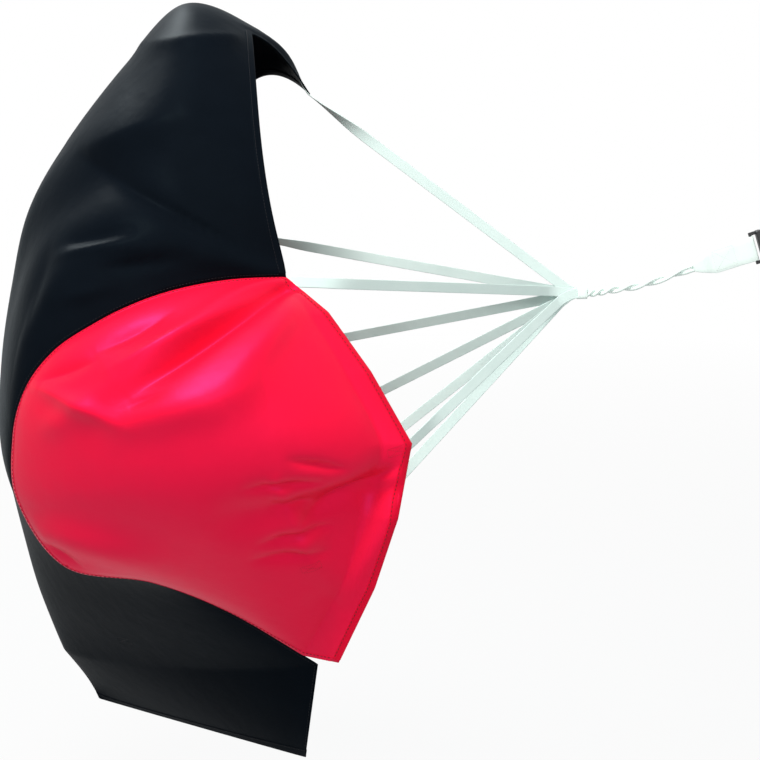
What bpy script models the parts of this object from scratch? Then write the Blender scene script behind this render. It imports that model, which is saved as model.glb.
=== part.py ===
# Speed parachute for running drills: a cloth canopy on eight flat straps, a twisted tow
# line with a webbing tab, a quick release buckle, and the padded waist belt that pulls it.
# Metres, +Z up, +X the way the runner runs, -Y the side that shows the red panel.
# The origin is the middle of the back pad's inner face, where the belt meets the body.

import math

import bpy
from mathutils import Matrix, Vector
from mathutils.bvhtree import BVHTree

# Driving sizes
CANOPY_SPAN = 1.14          # height of the open canopy
CLOTH = 0.0012              # canopy cloth with its seam allowance
CLEARANCE = 0.0003          # between two pieces that touch
STRAP_WIDTH = 0.015
STRAP_THICK = 0.0009
STRAP_LAP = 0.040           # length of strap sewn to the cloth
STRAP_FAN_SHARE = 1.6       # of its width, where a strap leaves the knot's plane
HEM_WIDTH = 0.012
HEM_THICK = 0.0008
WEBBING_WIDTH = 0.038
WEBBING_THICK = 0.0015
TAB_LENGTH = 0.098
TAB_TAPER = 0.026
TAB_END_WIDTH = 0.024
STRAND_RADIUS = 0.003
STRAND_TURNS = 3
TOW_SLOPE = math.radians(17)

# Buckles, for webbing of WEBBING_WIDTH
BUCKLE_BODY = 0.030
BUCKLE_THICK = 0.013
BUCKLE_RAIL = 0.005
BUCKLE_FRAME_THICK = 0.003
BUCKLE_BAR = 0.004
BUCKLE_SLOT = 0.007
BUCKLE_ROUND = 0.002
PLUG_BASE = 0.009
PRONG_LENGTH = 0.022
PRONG_WIDTH = 0.005
PRONG_THICK = 0.0045
TONGUE_WIDTH = 0.007

# Anchor on the belt
PIN_RADIUS = 0.0025
PIN_HEAD = 0.0045
PIN_HEAD_THICK = 0.0015
PIN_REACH = 0.020           # from the anchor plate to the pin's axis
EAR_THICK = 0.003
EAR_WIDTH = 0.011
EAR_ROUND = 0.001
ANCHOR_THICK = 0.003
ANCHOR_WIDTH = 0.040
ANCHOR_BORDER = 0.008       # plate past each ear
RELEASE_LOOP = 0.027        # from the pin's axis to the socket's bar

# Belt and pad
WAIST_DEPTH = 0.220
WAIST_WIDTH = 0.310
BELT_THICK = 0.0018
BELT_TAIL = 0.022
PAD_WIDTH_SHARE = 0.947     # of the belt's straight back
PAD_HEIGHT = 0.084
PAD_CORNER = 0.020
PAD_SKIN = 0.0015
PAD_FOAM = 0.006
KEEPER_WIDTH = 0.014
KEEPER_THICK = 0.0012
KEEPER_PLACE_SHARE = 0.711  # of the pad's half width
KEEPER_FOOT = 0.008
SLIDER_WIDTH = 0.016
SLIDER_THICK = 0.0022
SLIDER_PLACE_SHARE = 0.85   # of the slider's width, from the belt's end
SLIDER_ROOM_SHARE = 0.6     # of the slider's width, from it to the belt's bend
BUCKLE_OFFSET = 0.004       # the front buckle's mouth, left of the middle
OVERRUN = 0.001             # how far a cutter passes the face that it cuts

# Counts
STEPS_PER_STATION = 3
STRIP_COLUMNS = 14
PANEL_ROWS = 18
PANEL_COLUMNS = 18
LAP_ROWS = 6
ROUND_SIDES = 20
TOW_STEPS = 9               # points between two places of the tow line

# Places on the canopy, as shares of CANOPY_SPAN from the knot where the straps meet.
# The black strip runs from the top of the mouth over the back to the loose bottom end.
# One row is one station: x, y, z.
STRIP_NEAR_SHARES = (
    (-0.400, -0.254, 0.050),
    (-0.466, -0.276, 0.050),
    (-0.529, -0.289, 0.041),
    (-0.582, -0.298, 0.025),
    (-0.631, -0.298, 0.001),
    (-0.677, -0.289, -0.031),
    (-0.711, -0.272, -0.078),
    (-0.727, -0.254, -0.140),
    (-0.723, -0.237, -0.219),
    (-0.667, -0.237, -0.300),
    (-0.562, -0.237, -0.322),
    (-0.467, -0.228, -0.365),
    (-0.360, -0.219, -0.435),
    (-0.374, -0.193, -0.561),
)
STRIP_RIDGE_SHARES = (
    (-0.347, 0.000, 0.262),
    (-0.411, 0.000, 0.340),
    (-0.505, 0.000, 0.377),
    (-0.580, 0.000, 0.303),
    (-0.655, 0.000, 0.207),
    (-0.704, 0.000, 0.122),
    (-0.729, 0.000, 0.029),
    (-0.745, 0.000, -0.064),
    (-0.749, 0.000, -0.162),
    (-0.736, 0.009, -0.249),
    (-0.701, 0.026, -0.327),
    (-0.653, 0.035, -0.418),
    (-0.580, 0.026, -0.493),
    (-0.494, 0.018, -0.580),
)
STRIP_FAR_SHARES = (
    (-0.408, 0.250, 0.066),
    (-0.468, 0.274, 0.060),
    (-0.529, 0.289, 0.041),
    (-0.582, 0.298, 0.025),
    (-0.631, 0.298, 0.001),
    (-0.677, 0.289, -0.031),
    (-0.711, 0.272, -0.078),
    (-0.727, 0.254, -0.140),
    (-0.722, 0.240, -0.219),
    (-0.718, 0.230, -0.295),
    (-0.697, 0.219, -0.358),
    (-0.679, 0.219, -0.425),
    (-0.662, 0.219, -0.508),
    (-0.629, 0.211, -0.588),
)
# Mouth hems of the two red panels, from the top corner to the bottom corner
HEM_NEAR_SHARES = (
    (-0.400, -0.254, 0.050),
    (-0.352, -0.278, 0.010),
    (-0.303, -0.299, -0.060),
    (-0.256, -0.311, -0.145),
    (-0.272, -0.309, -0.235),
    (-0.298, -0.289, -0.325),
    (-0.338, -0.254, -0.425),
)
HEM_FAR_SHARES = (
    (-0.408, 0.250, 0.066),
    (-0.380, 0.264, 0.020),
    (-0.332, 0.278, -0.038),
    (-0.276, 0.290, -0.090),
    (-0.334, 0.281, -0.224),
    (-0.511, 0.263, -0.360),
    (-0.662, 0.219, -0.508),
)
SEAM_STATION_SHARES = (6, 9, 12)    # stations where a panel's top, back and bottom seam end
BULGE_SHARE = 0.105                 # how far a panel swells, of CANOPY_SPAN
SCALLOP_SHARE = 0.090               # how far the top hem draws back between its corners
BEAK_SHARES = (0.16, 0.55)          # near and far width of the beak at the top hem's middle

# Folds: start and end on the surface, width there, and height as a share of CANOPY_SPAN
STRIP_FOLD_SHARES = (
    ((0.02, -0.95), (0.30, -0.30), 0.10, -0.012),
    ((0.02, -0.98), (0.36, -0.72), 0.10, 0.010),
    ((0.10, -0.60), (0.34, -0.10), 0.10, 0.008),
)
NEAR_FOLD_SHARES = (
    ((0.02, 0.04), (0.70, 0.30), 0.07, -0.016),
    ((0.04, 0.02), (0.84, 0.34), 0.06, 0.012),
    ((0.00, 0.60), (0.42, 0.72), 0.06, -0.012),
    ((0.30, 0.60), (0.12, 0.84), 0.05, 0.008),
)
FAR_FOLD_SHARES = (
    ((0.10, 0.08), (0.66, 0.36), 0.08, -0.012),
    ((0.26, 0.54), (0.70, 0.62), 0.09, 0.010),
)

# Strap ends: the cloth, and a place near it as shares of CANOPY_SPAN from the knot
STRAP_END_SHARES = (
    ("strap_top_middle", "strip", (-0.347, 0.000, 0.262)),
    ("strap_top_far", "far", (-0.412, 0.250, 0.055)),
    ("strap_top_near", "near", (-0.404, -0.250, 0.040)),
    ("strap_far_middle", "far", (-0.281, 0.289, -0.092)),
    ("strap_bottom_far", "far", (-0.338, 0.280, -0.224)),
    ("strap_near_middle", "near", (-0.262, -0.310, -0.147)),
    ("strap_bottom_near", "near", (-0.369, -0.289, -0.283)),
    ("strap_bottom_middle", "strip", (-0.540, 0.020, -0.400)),
)
TOW_PATH_SHARES = ((0.051, 0.0035), (0.098, 0.011))   # x and z of the tow line's middle

# Sizes that follow from the ones above
PAD_THICK = 2 * PAD_SKIN + PAD_FOAM + 2 * CLEARANCE
BELT_X = -(PAD_THICK + CLEARANCE + BELT_THICK / 2)
ANCHOR_X = BELT_X - BELT_THICK / 2 - CLEARANCE
EAR_LOW = WEBBING_WIDTH / 2 + OVERRUN
EAR_HIGH = EAR_LOW + EAR_THICK
ANCHOR_HEIGHT = 2 * (EAR_HIGH + ANCHOR_BORDER)
PIN_X = ANCHOR_X - ANCHOR_THICK - PIN_REACH
BUCKLE_WIDTH = WEBBING_WIDTH + 2 * BUCKLE_RAIL + 2 * OVERRUN
SOCKET_BAR = BUCKLE_BODY + BUCKLE_SLOT + BUCKLE_BAR / 2
PLUG_BAR = PLUG_BASE + BUCKLE_SLOT + BUCKLE_BAR / 2
PLUG_TRAVEL = PRONG_LENGTH + 4 * OVERRUN
MOUTH_X = -(RELEASE_LOOP + SOCKET_BAR)          # along the tow frame, from the pin
TAB_BAR_X = MOUTH_X - PLUG_BAR
BAR_REACH = math.hypot(BUCKLE_BAR, BUCKLE_FRAME_THICK) / 2     # middle of a bar to its edge
TAB_END_X = TAB_BAR_X - TAB_LENGTH
TOW_FRAME = Matrix.Translation((PIN_X, 0, 0)) @ Matrix.Rotation(-TOW_SLOPE, 4, "Y")
KNOT_TO_BAR_SHARE = (0.245, 0.0565)             # x and z from the knot to the tab's bar
BAR_PLACE = TOW_FRAME @ Vector((TAB_BAR_X, 0, 0))
KNOT = BAR_PLACE - CANOPY_SPAN * Vector((KNOT_TO_BAR_SHARE[0], 0, KNOT_TO_BAR_SHARE[1]))
SOCKET_BAR_Y = BUCKLE_OFFSET + SOCKET_BAR
PLUG_BAR_Y = BUCKLE_OFFSET - PLUG_BAR
SIDE_FOLD = BUCKLE_BAR + BUCKLE_SLOT
STRAP_LAID_Y = PLUG_BAR_Y - 2 * SIDE_FOLD       # from here the adjuster lies on the belt
BELT_END_Y = STRAP_LAID_Y - PLUG_TRAVEL - BELT_THICK
SLIDER_Y = BELT_END_Y - SLIDER_WIDTH * SLIDER_PLACE_SHARE
STRAIGHT_HALF = SLIDER_WIDTH * (0.5 + SLIDER_ROOM_SHARE) - SLIDER_Y     # of front and back
BELT_CORNER = WAIST_WIDTH / 2 - STRAIGHT_HALF
PAD_WIDTH = PAD_WIDTH_SHARE * 2 * STRAIGHT_HALF
KEEPER_PLACE = KEEPER_PLACE_SHARE * PAD_WIDTH / 2
STACK_PITCH = STRAP_THICK + CLEARANCE
STACK_HALF = len(STRAP_END_SHARES) * STACK_PITCH / 2
STACK_END = STRAP_WIDTH
FAN_LENGTH = STRAP_FAN_SHARE * STRAP_WIDTH
HELIX_RADIUS = 1.04 * STRAND_RADIUS + CLEARANCE


def clear_scene():
    for old in list(bpy.data.objects):
        bpy.data.objects.remove(old, do_unlink=True)


def new_collection(name):
    collection = bpy.data.collections.new(name)
    bpy.context.scene.collection.children.link(collection)
    return collection


def material(name, colour, roughness, metallic=0.0):
    made = bpy.data.materials.new(name)
    made.use_nodes = True
    shader = made.node_tree.nodes["Principled BSDF"]
    shader.inputs["Base Color"].default_value = (*colour, 1.0)
    shader.inputs["Roughness"].default_value = roughness
    shader.inputs["Metallic"].default_value = metallic
    return made


clear_scene()
PARTS = new_collection("speed_parachute")
CUTTERS = new_collection("cutters")
TOW_AXIS = bpy.data.objects.new("tow_axis", None)
TOW_AXIS.matrix_world = TOW_FRAME
PARTS.objects.link(TOW_AXIS)

BLACK_CLOTH = material("black_cloth", (0.006, 0.010, 0.016), 0.45)
RED_CLOTH = material("red_cloth", (0.76, 0.012, 0.045), 0.50)
WHITE_TAPE = material("white_tape", (0.72, 0.80, 0.76), 0.70)
BLACK_WEBBING = material("black_webbing", (0.012, 0.012, 0.014), 0.75)
BLACK_PLASTIC = material("black_plastic", (0.015, 0.015, 0.017), 0.40)
PAD_LINING = material("pad_lining", (0.05, 0.05, 0.055), 0.90)
PAD_FOAM_SURFACE = material("pad_foam", (0.20, 0.20, 0.21), 0.95)
STEEL = material("steel", (0.60, 0.60, 0.62), 0.30, 1.0)


# Objects from meshes, boxes and curves

def place(name, data, surface, collection=PARTS, parent=None):
    made = bpy.data.objects.new(name, data)
    if surface:
        data.materials.append(surface)
    collection.objects.link(made)
    made.parent = parent
    return made


def grid_mesh(name, rows, cyclic=False):
    """Two triangles a cell over equal rows of points."""
    across = len(rows[0])
    points = [tuple(point) for row in rows for point in row]
    pairs = [(i, i + 1) for i in range(len(rows) - 1)]
    if cyclic:
        pairs.append((len(rows) - 1, 0))
    faces = []
    for low, high in pairs:
        for j in range(across - 1):
            a, b = low * across + j, low * across + j + 1
            c, d = high * across + j + 1, high * across + j
            faces += [(a, b, c), (a, c, d)]
    mesh = bpy.data.meshes.new(name)
    mesh.from_pydata(points, [], faces)
    return mesh


def shell(name, rows, thickness, surface, parent=None, cyclic=False):
    """A sheet of even thickness about a grid of points."""
    made = place(name, grid_mesh(name, rows, cyclic), surface, parent=parent)
    solid = made.modifiers.new("thickness", "SOLIDIFY")
    solid.thickness = thickness
    solid.offset = 0
    solid.use_even_offset = True
    made.data.shade_smooth()
    made.data.set_sharp_from_angle(angle=math.radians(50))
    return made


def ribbon(name, spine, side, thickness, surface, parent=None, cyclic=False):
    """A flat tape along a spine: side is its half width at each point."""
    rows = []
    for i, point in enumerate(spine):
        half = side[i] if isinstance(side, list) else side
        rows.append((point - half, point + half))
    return shell(name, rows, thickness, surface, parent, cyclic)


def box(name, low, high, surface=None, parent=None, rounding=0.0):
    """A box between two corners, a cutter where it has no surface."""
    bpy.ops.mesh.primitive_cube_add(size=1)
    made = bpy.context.object
    made.name = name
    for held in list(made.users_collection):
        held.objects.unlink(made)
    (PARTS if surface else CUTTERS).objects.link(made)
    low, high = Vector(low), Vector(high)
    for corner in made.data.vertices:
        corner.co = Vector(((low[k] + high[k]) / 2 + corner.co[k] * (high[k] - low[k])
                            for k in range(3)))
    made.parent = parent
    if surface:
        made.data.materials.append(surface)
    else:
        made.hide_render = True
        made.display_type = "WIRE"
    if rounding:
        bevel = made.modifiers.new("rounding", "BEVEL")
        bevel.width = rounding
        bevel.segments = 2
    return made


def rod(name, radius, low, high, surface=None, parent=None):
    """A round rod along Z."""
    bpy.ops.mesh.primitive_cylinder_add(vertices=ROUND_SIDES, radius=radius, depth=high - low)
    made = bpy.context.object
    made.name = name
    for held in list(made.users_collection):
        held.objects.unlink(made)
    (PARTS if surface else CUTTERS).objects.link(made)
    made.data.transform(Matrix.Translation((0, 0, (low + high) / 2)))
    made.parent = parent
    if surface:
        made.data.materials.append(surface)
        made.data.shade_smooth()
        made.data.set_sharp_from_angle(angle=math.radians(50))
    else:
        made.hide_render = True
        made.display_type = "WIRE"
    return made


def combine(target, tool, operation):
    step = target.modifiers.new(tool.name, "BOOLEAN")
    step.operation = operation
    step.object = tool
    return target


def arc(centre, radius, start, end, steps):
    """Points in the XY plane on an arc, angles in degrees."""
    points = []
    for i in range(steps + 1):
        angle = math.radians(start + (end - start) * i / steps)
        points.append(Vector((centre[0] + radius * math.cos(angle),
                              centre[1] + radius * math.sin(angle), 0)))
    return points


# Canopy surfaces

def canopy_place(shares):
    return KNOT + CANOPY_SPAN * Vector(shares)


def through(table, station, corner=None):
    """A curve through the table's places, smooth but for an angle at the corner station."""
    last = len(table) - 1
    i = min(int(station), last - 1)
    t = station - i
    p0, p1, p2, p3 = (Vector(table[min(max(k, 0), last)]) for k in (i - 1, i, i + 1, i + 2))
    if i == corner:
        p0 = 2 * p1 - p2
    if i + 1 == corner:
        p3 = 2 * p2 - p1
    return 0.5 * (2 * p1 + (p2 - p0) * t + (2 * p0 - 5 * p1 + 4 * p2 - p3) * t * t
                  + (3 * p1 - p0 - 3 * p2 + p3) * t ** 3)


def between(table, share):
    """Straight lines from place to place of the table."""
    station = share * (len(table) - 1)
    i = min(int(station), len(table) - 2)
    return Vector(table[i]).lerp(Vector(table[i + 1]), station - i)


def along_curve(table, share):
    return through(table, share * (len(table) - 1))


def seam_curve(table, step):
    """A place on the strip; its near edge turns sharply where the loose flap starts."""
    corner = SEAM_STATION_SHARES[-1] if table is STRIP_NEAR_SHARES else None
    return canopy_place(through(table, step / STEPS_PER_STATION, corner))


def fold_height(a, b, folds):
    """Sum of the soft creases at a place of the surface, in metres."""
    total = 0.0
    for start, end, width, height in folds:
        along = Vector(end) - Vector(start)
        t = (Vector((a, b)) - Vector(start)).dot(along) / along.length_squared
        near = Vector(start) + along * min(max(t, 0.0), 1.0)
        gap = (Vector((a, b)) - near).length / (width * (0.35 + 0.65 * min(max(t, 0.0), 1.0)))
        fade = math.sin(math.pi * min(max(0.12 + 0.76 * t, 0.0), 1.0))
        total += height * CANOPY_SPAN * fade * math.exp(-gap * gap)
    return total


def scallop(v):
    """How far down the strip the top hem starts, from its corner at 1 to its middle at 0."""
    rise = min(abs(v) / BEAK_SHARES[0 if v < 0 else 1], 1.0)
    return SCALLOP_SHARE * rise * (1 - abs(v) ** 3)


def strip_rows():
    steps = STEPS_PER_STATION * (len(STRIP_NEAR_SHARES) - 1)
    rows = []
    for i in range(steps + 1):
        row = []
        for j in range(STRIP_COLUMNS + 1):
            v = 2 * j / STRIP_COLUMNS - 1
            u = scallop(v) + (1 - scallop(v)) * i / steps
            step = u * steps
            near = seam_curve(STRIP_NEAR_SHARES, step)
            far = seam_curve(STRIP_FAR_SHARES, step)
            ridge = seam_curve(STRIP_RIDGE_SHARES, step)
            middle = (near + far) / 2
            turn = v * math.pi / 2
            row.append(middle + (ridge - middle) * math.cos(turn)
                       + (far - near) / 2 * math.sin(turn))
        rows.append(row)
    return rows


def panel_rows(seam_table, hem_table, hem_line, outward):
    """A patch between the mouth hem and the strip's edge, swollen outward."""
    top, back, bottom = (STEPS_PER_STATION * k for k in SEAM_STATION_SHARES)

    def hem(t):
        return canopy_place(hem_line(hem_table, t))

    def on_seam(step):
        low = int(math.floor(step + 1e-6))
        high = min(low + 1, bottom)
        return seam_curve(seam_table, low).lerp(seam_curve(seam_table, high), step - low)

    corner = hem(1) - on_seam(bottom)

    def bottom_seam(s):
        return on_seam(bottom + (back - bottom) * s) + corner * max(0.0, 1 - s * PANEL_ROWS)

    def back_seam(t):
        return on_seam(top + (back - top) * t)

    rows = []
    for i in range(PANEL_ROWS + 1):
        s = i / PANEL_ROWS
        row = []
        for j in range(PANEL_COLUMNS + 1):
            t = j / PANEL_COLUMNS
            point = (1 - s) * hem(t) + s * back_seam(t)
            point += (1 - t) * on_seam(top * s) + t * bottom_seam(s)
            point -= (1 - s) * ((1 - t) * hem(0) + t * hem(1))
            point -= s * ((1 - t) * back_seam(0) + t * back_seam(1))
            swell = (math.sin(math.pi * s) * math.sin(math.pi * t)) ** 0.75
            row.append(point + outward * BULGE_SHARE * CANOPY_SPAN * swell)
        rows.append(row)
    return rows


def fold_rows(rows, folds, low, high, flip):
    """Move inner points along the surface's normal by the height of its folds."""
    folded = [list(row) for row in rows]
    last_row, last_column = len(rows) - 1, len(rows[0]) - 1
    for i in range(1, last_row):
        for j in range(1, last_column):
            along = rows[i + 1][j] - rows[i - 1][j]
            across = rows[i][j + 1] - rows[i][j - 1]
            normal = across.cross(along).normalized() * (-1 if flip else 1)
            a = low[0] + (high[0] - low[0]) * i / last_row
            b = low[1] + (high[1] - low[1]) * j / last_column
            folded[i][j] = rows[i][j] + normal * fold_height(a, b, folds)
    return folded


def part_seam(first, inner_first, second, inner_second, along):
    """Draw two sheets back from a shared seam point until their edges just clear."""
    along = along.normalized()
    ways = []
    for edge, inner in ((first, inner_first), (second, inner_second)):
        way = inner - edge
        ways.append((way - along * way.dot(along)).normalized())
    angle = ways[0].angle(ways[1])
    back = CLOTH / 2 / math.tan(angle / 2) + CLEARANCE
    return first + ways[0] * back, second + ways[1] * back


def open_seam(strip, panel, edge, inner):
    """Part the strip's edge column from the panel's three sewn sides."""
    top, back, bottom = (STEPS_PER_STATION * k for k in SEAM_STATION_SHARES)
    fine = PANEL_ROWS / (bottom - back)
    sewn = [(i, (i, 0), (i, 1)) for i in range(0, top)]
    fine_back = PANEL_COLUMNS / (back - top)
    sewn += [(top + k / fine_back, (PANEL_ROWS, k), (PANEL_ROWS - 1, k))
             for k in range(0, PANEL_COLUMNS + 1)]
    sewn += [(back + k / fine, (PANEL_ROWS - k, PANEL_COLUMNS), (PANEL_ROWS - k, PANEL_COLUMNS - 1))
             for k in range(1, PANEL_ROWS)]
    if (panel[0][PANEL_COLUMNS] - strip[bottom][edge]).length < CLOTH:
        sewn.append((bottom, (0, PANEL_COLUMNS), (0, PANEL_COLUMNS - 1)))
    moved = {}
    for step, (pi, pj), (qi, qj) in sewn:
        low = int(math.floor(step + 1e-6))
        t = step - low
        first = strip[low][edge].lerp(strip[low + 1][edge], t)
        first_in = strip[low][inner].lerp(strip[low + 1][inner], t)
        along = strip[low + 1][edge] - strip[low - 1 if t < 1e-6 and low else low][edge]
        new_first, new_second = part_seam(first, first_in, panel[pi][pj], panel[qi][qj], along)
        panel[pi][pj] = new_second
        if t < 1e-6:
            moved[low] = new_first
    for low, point in moved.items():
        strip[low][edge] = point
    return strip, panel


strip = fold_rows(strip_rows(), STRIP_FOLD_SHARES, (0, -1), (1, 1), False)
near_side = panel_rows(STRIP_NEAR_SHARES, HEM_NEAR_SHARES, between, Vector((0, -1, 0)))
near_side = fold_rows(near_side, NEAR_FOLD_SHARES, (0, 0), (1, 1), True)
far_side = panel_rows(STRIP_FAR_SHARES, HEM_FAR_SHARES, along_curve, Vector((0, 1, 0)))
far_side = fold_rows(far_side, FAR_FOLD_SHARES, (0, 0), (1, 1), False)
strip, near_side = open_seam(strip, near_side, 0, 1)
strip, far_side = open_seam(strip, far_side, STRIP_COLUMNS, STRIP_COLUMNS - 1)
CLOTHS = {"strip": strip, "near": near_side, "far": far_side}

shell("black_strip", strip, CLOTH, BLACK_CLOTH)
shell("red_side_near", near_side, CLOTH, RED_CLOTH)
shell("red_side_far", far_side, CLOTH, RED_CLOTH)


def cloth_tree(rows):
    mesh = grid_mesh("guide", rows)
    tree = BVHTree.FromPolygons([v.co for v in mesh.vertices], [p.vertices for p in mesh.polygons])
    bpy.data.meshes.remove(mesh)
    return tree


TREES = {name: cloth_tree(rows) for name, rows in CLOTHS.items()}
HOLLOW = canopy_place((-0.50, 0.0, -0.05))      # a place inside the canopy


def inward_sign(name):
    rows = CLOTHS[name]
    middle = rows[len(rows) // 2][len(rows[0]) // 2]
    spot, normal, _, _ = TREES[name].find_nearest(middle)
    return 1 if normal.dot(HOLLOW - spot) > 0 else -1


INWARD = {name: inward_sign(name) for name in CLOTHS}


def seat(cloth, point, height, inside):
    """The nearest place on the cloth, raised off its inner or outer face."""
    spot, normal, _, _ = TREES[cloth].find_nearest(point)
    inward = normal * INWARD[cloth]
    return spot + inward * (height if inside else -height), inward


def clear_of(cloth, point, height, inside=True):
    """The point, moved off the cloth where it lies over it and too close to it."""
    for _ in range(8):
        spot, normal, _, _ = TREES[cloth].find_nearest(point)
        way = normal * INWARD[cloth] * (1 if inside else -1)
        raised = (point - spot).dot(way)
        past_edge = (point - spot - way * raised).length
        if past_edge > CLOTH or raised > height - CLEARANCE / 10:
            return point
        point = spot + way * height
    return point


# Hems: narrow doubled bands along the outside of each mouth edge

def raise_evenly(cloth, point, height):
    """The point raised off the outer face along the mean normal of the facets round it."""
    total = Vector((0, 0, 0))
    spot, normal, _, _ = TREES[cloth].find_nearest(point)
    for way in ((1, 0, 0), (-1, 0, 0), (0, 1, 0), (0, -1, 0), (0, 0, 1), (0, 0, -1)):
        total += TREES[cloth].find_nearest(spot + Vector(way) * HEM_THICK)[1]
    mean = total.normalized()
    return spot - mean * INWARD[cloth] * height / max(mean.dot(normal), 0.5)


def hem_band(name, cloth, edge, inner, surface):
    """edge and inner are matching lists of places on the cloth, at its edge and further in.

    The cloth's cells are split from edge[j] to inner[j + 1], and the band bends there too.
    """
    height = CLOTH / 2 + 2 * CLEARANCE + HEM_THICK / 2
    shares = [HEM_WIDTH / (b - a).length for a, b in zip(edge, inner)]
    lines = []
    for j, share in enumerate(shares):
        lines.append((edge[j], edge[j].lerp(inner[j], share)))
        if j + 1 < len(shares):
            after = shares[j + 1]
            lines.append((edge[j].lerp(edge[j + 1], after), edge[j].lerp(inner[j + 1], after)))
    rows = []
    for rim, further in lines:
        start = rim + (further - rim).normalized() * CLEARANCE
        rows.append([raise_evenly(cloth, spot, height) for spot in (start, further)])
    shell(name, rows, HEM_THICK, surface)


hem_band("hem_near", "near", near_side[0][1:-1], near_side[1][1:-1], RED_CLOTH)
hem_band("hem_far", "far", far_side[0][1:-1], far_side[1][1:-1], RED_CLOTH)
hem_band("hem_top", "strip", strip[0][1:-1], strip[1][1:-1], BLACK_CLOTH)
hem_band("hem_bottom", "strip", strip[-1][-2:0:-1], strip[-2][-2:0:-1], BLACK_CLOTH)


# Straps: flat tapes from the stack at the knot to a lap inside the cloth

def lap_rows(cloth, place_near):
    """Rows of three points, lying on the inner face and leading away from the knot."""
    height = CLOTH / 2 + 2.5 * CLEARANCE + STRAP_THICK / 2
    start, inward = seat(cloth, place_near, height, True)
    away = start - KNOT
    away = (away - inward * away.dot(inward)).normalized()
    rows = []
    for k in range(LAP_ROWS + 1):
        share = k / LAP_ROWS
        middle = start + away * STRAP_LAP * share
        seated, inward = seat(cloth, middle, height, True)
        half = inward.cross(away).normalized() * STRAP_WIDTH / 2
        rows.append([clear_of(cloth, seated + half * k, height) for k in (-1, 0, 1)])
    return rows


def strap_rows(lap, depth):
    """The stack, the flat fan, the free run with its twist, and the lap."""
    first = lap[0]
    run = first[1] - KNOT
    flat = Vector((run.x, 0, run.z)).normalized()
    back = Vector((-1, 0, 0))
    knot = KNOT + Vector((0, depth, 0))
    spots = [knot - back * STACK_END, knot - back * STRAP_WIDTH * 0.4]
    ways = [back, back]
    fan_length = FAN_LENGTH * (1.5 - 0.75 * abs(depth) / STACK_HALF)
    for share in (0.3, 0.65, 1.0):
        spots.append(knot + flat * fan_length * share)
        ways.append(flat if share > 0.5 else (back + 2 * flat).normalized())
    fan = [(spot, Vector((-way.z, 0, way.x)) * STRAP_WIDTH / 2)
           for spot, way in zip(spots, ways)]
    start, half = fan[-1]
    last_half = (first[2] - first[0]) / 2
    if last_half.dot(half) < 0:
        lap = [row[::-1] for row in lap]
        last_half = -last_half
    axis = (first[1] - start).normalized()
    flat_half = (last_half - axis * last_half.dot(axis)).normalized()
    lead = (half - axis * half.dot(axis)).normalized()
    twist = math.atan2(axis.dot(lead.cross(flat_half)), lead.dot(flat_half))
    free = []
    for share in (0.12, 0.3, 0.5, 0.7, 0.85, 0.95):
        eased = share * share * (3 - 2 * share)
        turned = Matrix.Rotation(twist * eased, 3, axis) @ lead * STRAP_WIDTH / 2
        free.append((start.lerp(first[1], share), turned))
    rows = [[spot - side, spot, spot + side] for spot, side in fan + free]
    return rows + lap


laps = {}
for name, cloth, shares in STRAP_END_SHARES:
    laps[name] = lap_rows(cloth, canopy_place(shares))
order = sorted(laps, key=lambda n: (laps[n][0][1] - KNOT).y / (laps[n][0][1] - KNOT).length)
for k, name in enumerate(order):
    layer = (k + 0.5) * STACK_PITCH - STACK_HALF
    shell(name, strap_rows(laps[name], layer), STRAP_THICK, WHITE_TAPE)

# Collar sewn round the stack where the straps become the tow line
collar_y = STACK_HALF + 2 * CLEARANCE + KEEPER_THICK / 2
collar_z = STRAP_WIDTH / 2 + CLEARANCE + KEEPER_THICK / 2
collar_middle = KNOT + Vector((STACK_END, 0, 0))
collar_loop = []
for ky, kz in ((-1, -1), (1, -1), (1, 1), (-1, 1)):
    collar_loop.append(collar_middle + Vector((0, ky * collar_y, kz * collar_z)))
ribbon("knot_collar", collar_loop, Vector((STACK_END / 2, 0, 0)), KEEPER_THICK,
       WHITE_TAPE, cyclic=True)


# Tow line: two strands twisted round each other between the collar and the tab

def tow_middle():
    """The middle of the tow line, from inside the collar to inside the tab."""
    start = KNOT + Vector((STACK_END + CLEARANCE + STRAND_RADIUS * 0.1, 0, 0))
    spots = [start, start + Vector((STRAP_WIDTH, 0, 0))]
    spots += [KNOT + CANOPY_SPAN * Vector((x, 0, z)) for x, z in TOW_PATH_SHARES]
    spots += [TOW_FRAME @ Vector((TAB_END_X, 0, 0)),
              TOW_FRAME @ Vector((TAB_END_X + TAB_TAPER * 0.7, 0, 0))]
    count = TOW_STEPS * (len(spots) - 1)
    return [through(spots, (len(spots) - 1) * i / count) for i in range(count + 1)]


def strand(name, phase):
    middle = tow_middle()
    count = len(middle) - 1
    curve = bpy.data.curves.new(name, "CURVE")
    curve.dimensions = "3D"
    curve.bevel_depth = STRAND_RADIUS
    curve.bevel_resolution = 2
    curve.use_fill_caps = True
    spline = curve.splines.new("POLY")
    spline.points.add(count)
    for i, spot in enumerate(middle):
        along = middle[min(i + 1, count)] - middle[max(i - 1, 0)]
        rise = Vector((-along.z, 0, along.x)).normalized()
        t = min(max((i - TOW_STEPS / 2) / (count - TOW_STEPS * 1.7), 0.0), 1.0)
        turn = phase + 2 * math.pi * STRAND_TURNS * t
        offset = rise * math.cos(turn) + Vector((0, 1, 0)) * math.sin(turn)
        spline.points[i].co = (*(spot + offset * HELIX_RADIUS), 1)
    curve.materials.append(WHITE_TAPE)
    made = bpy.data.objects.new(name, curve)
    PARTS.objects.link(made)


strand("tow_strand_a", 0)
strand("tow_strand_b", math.pi)


# Webbing loops, drawn in the tow frame's XY plane

def webbing_side(width):
    return Vector((0, 0, width / 2))


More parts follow.
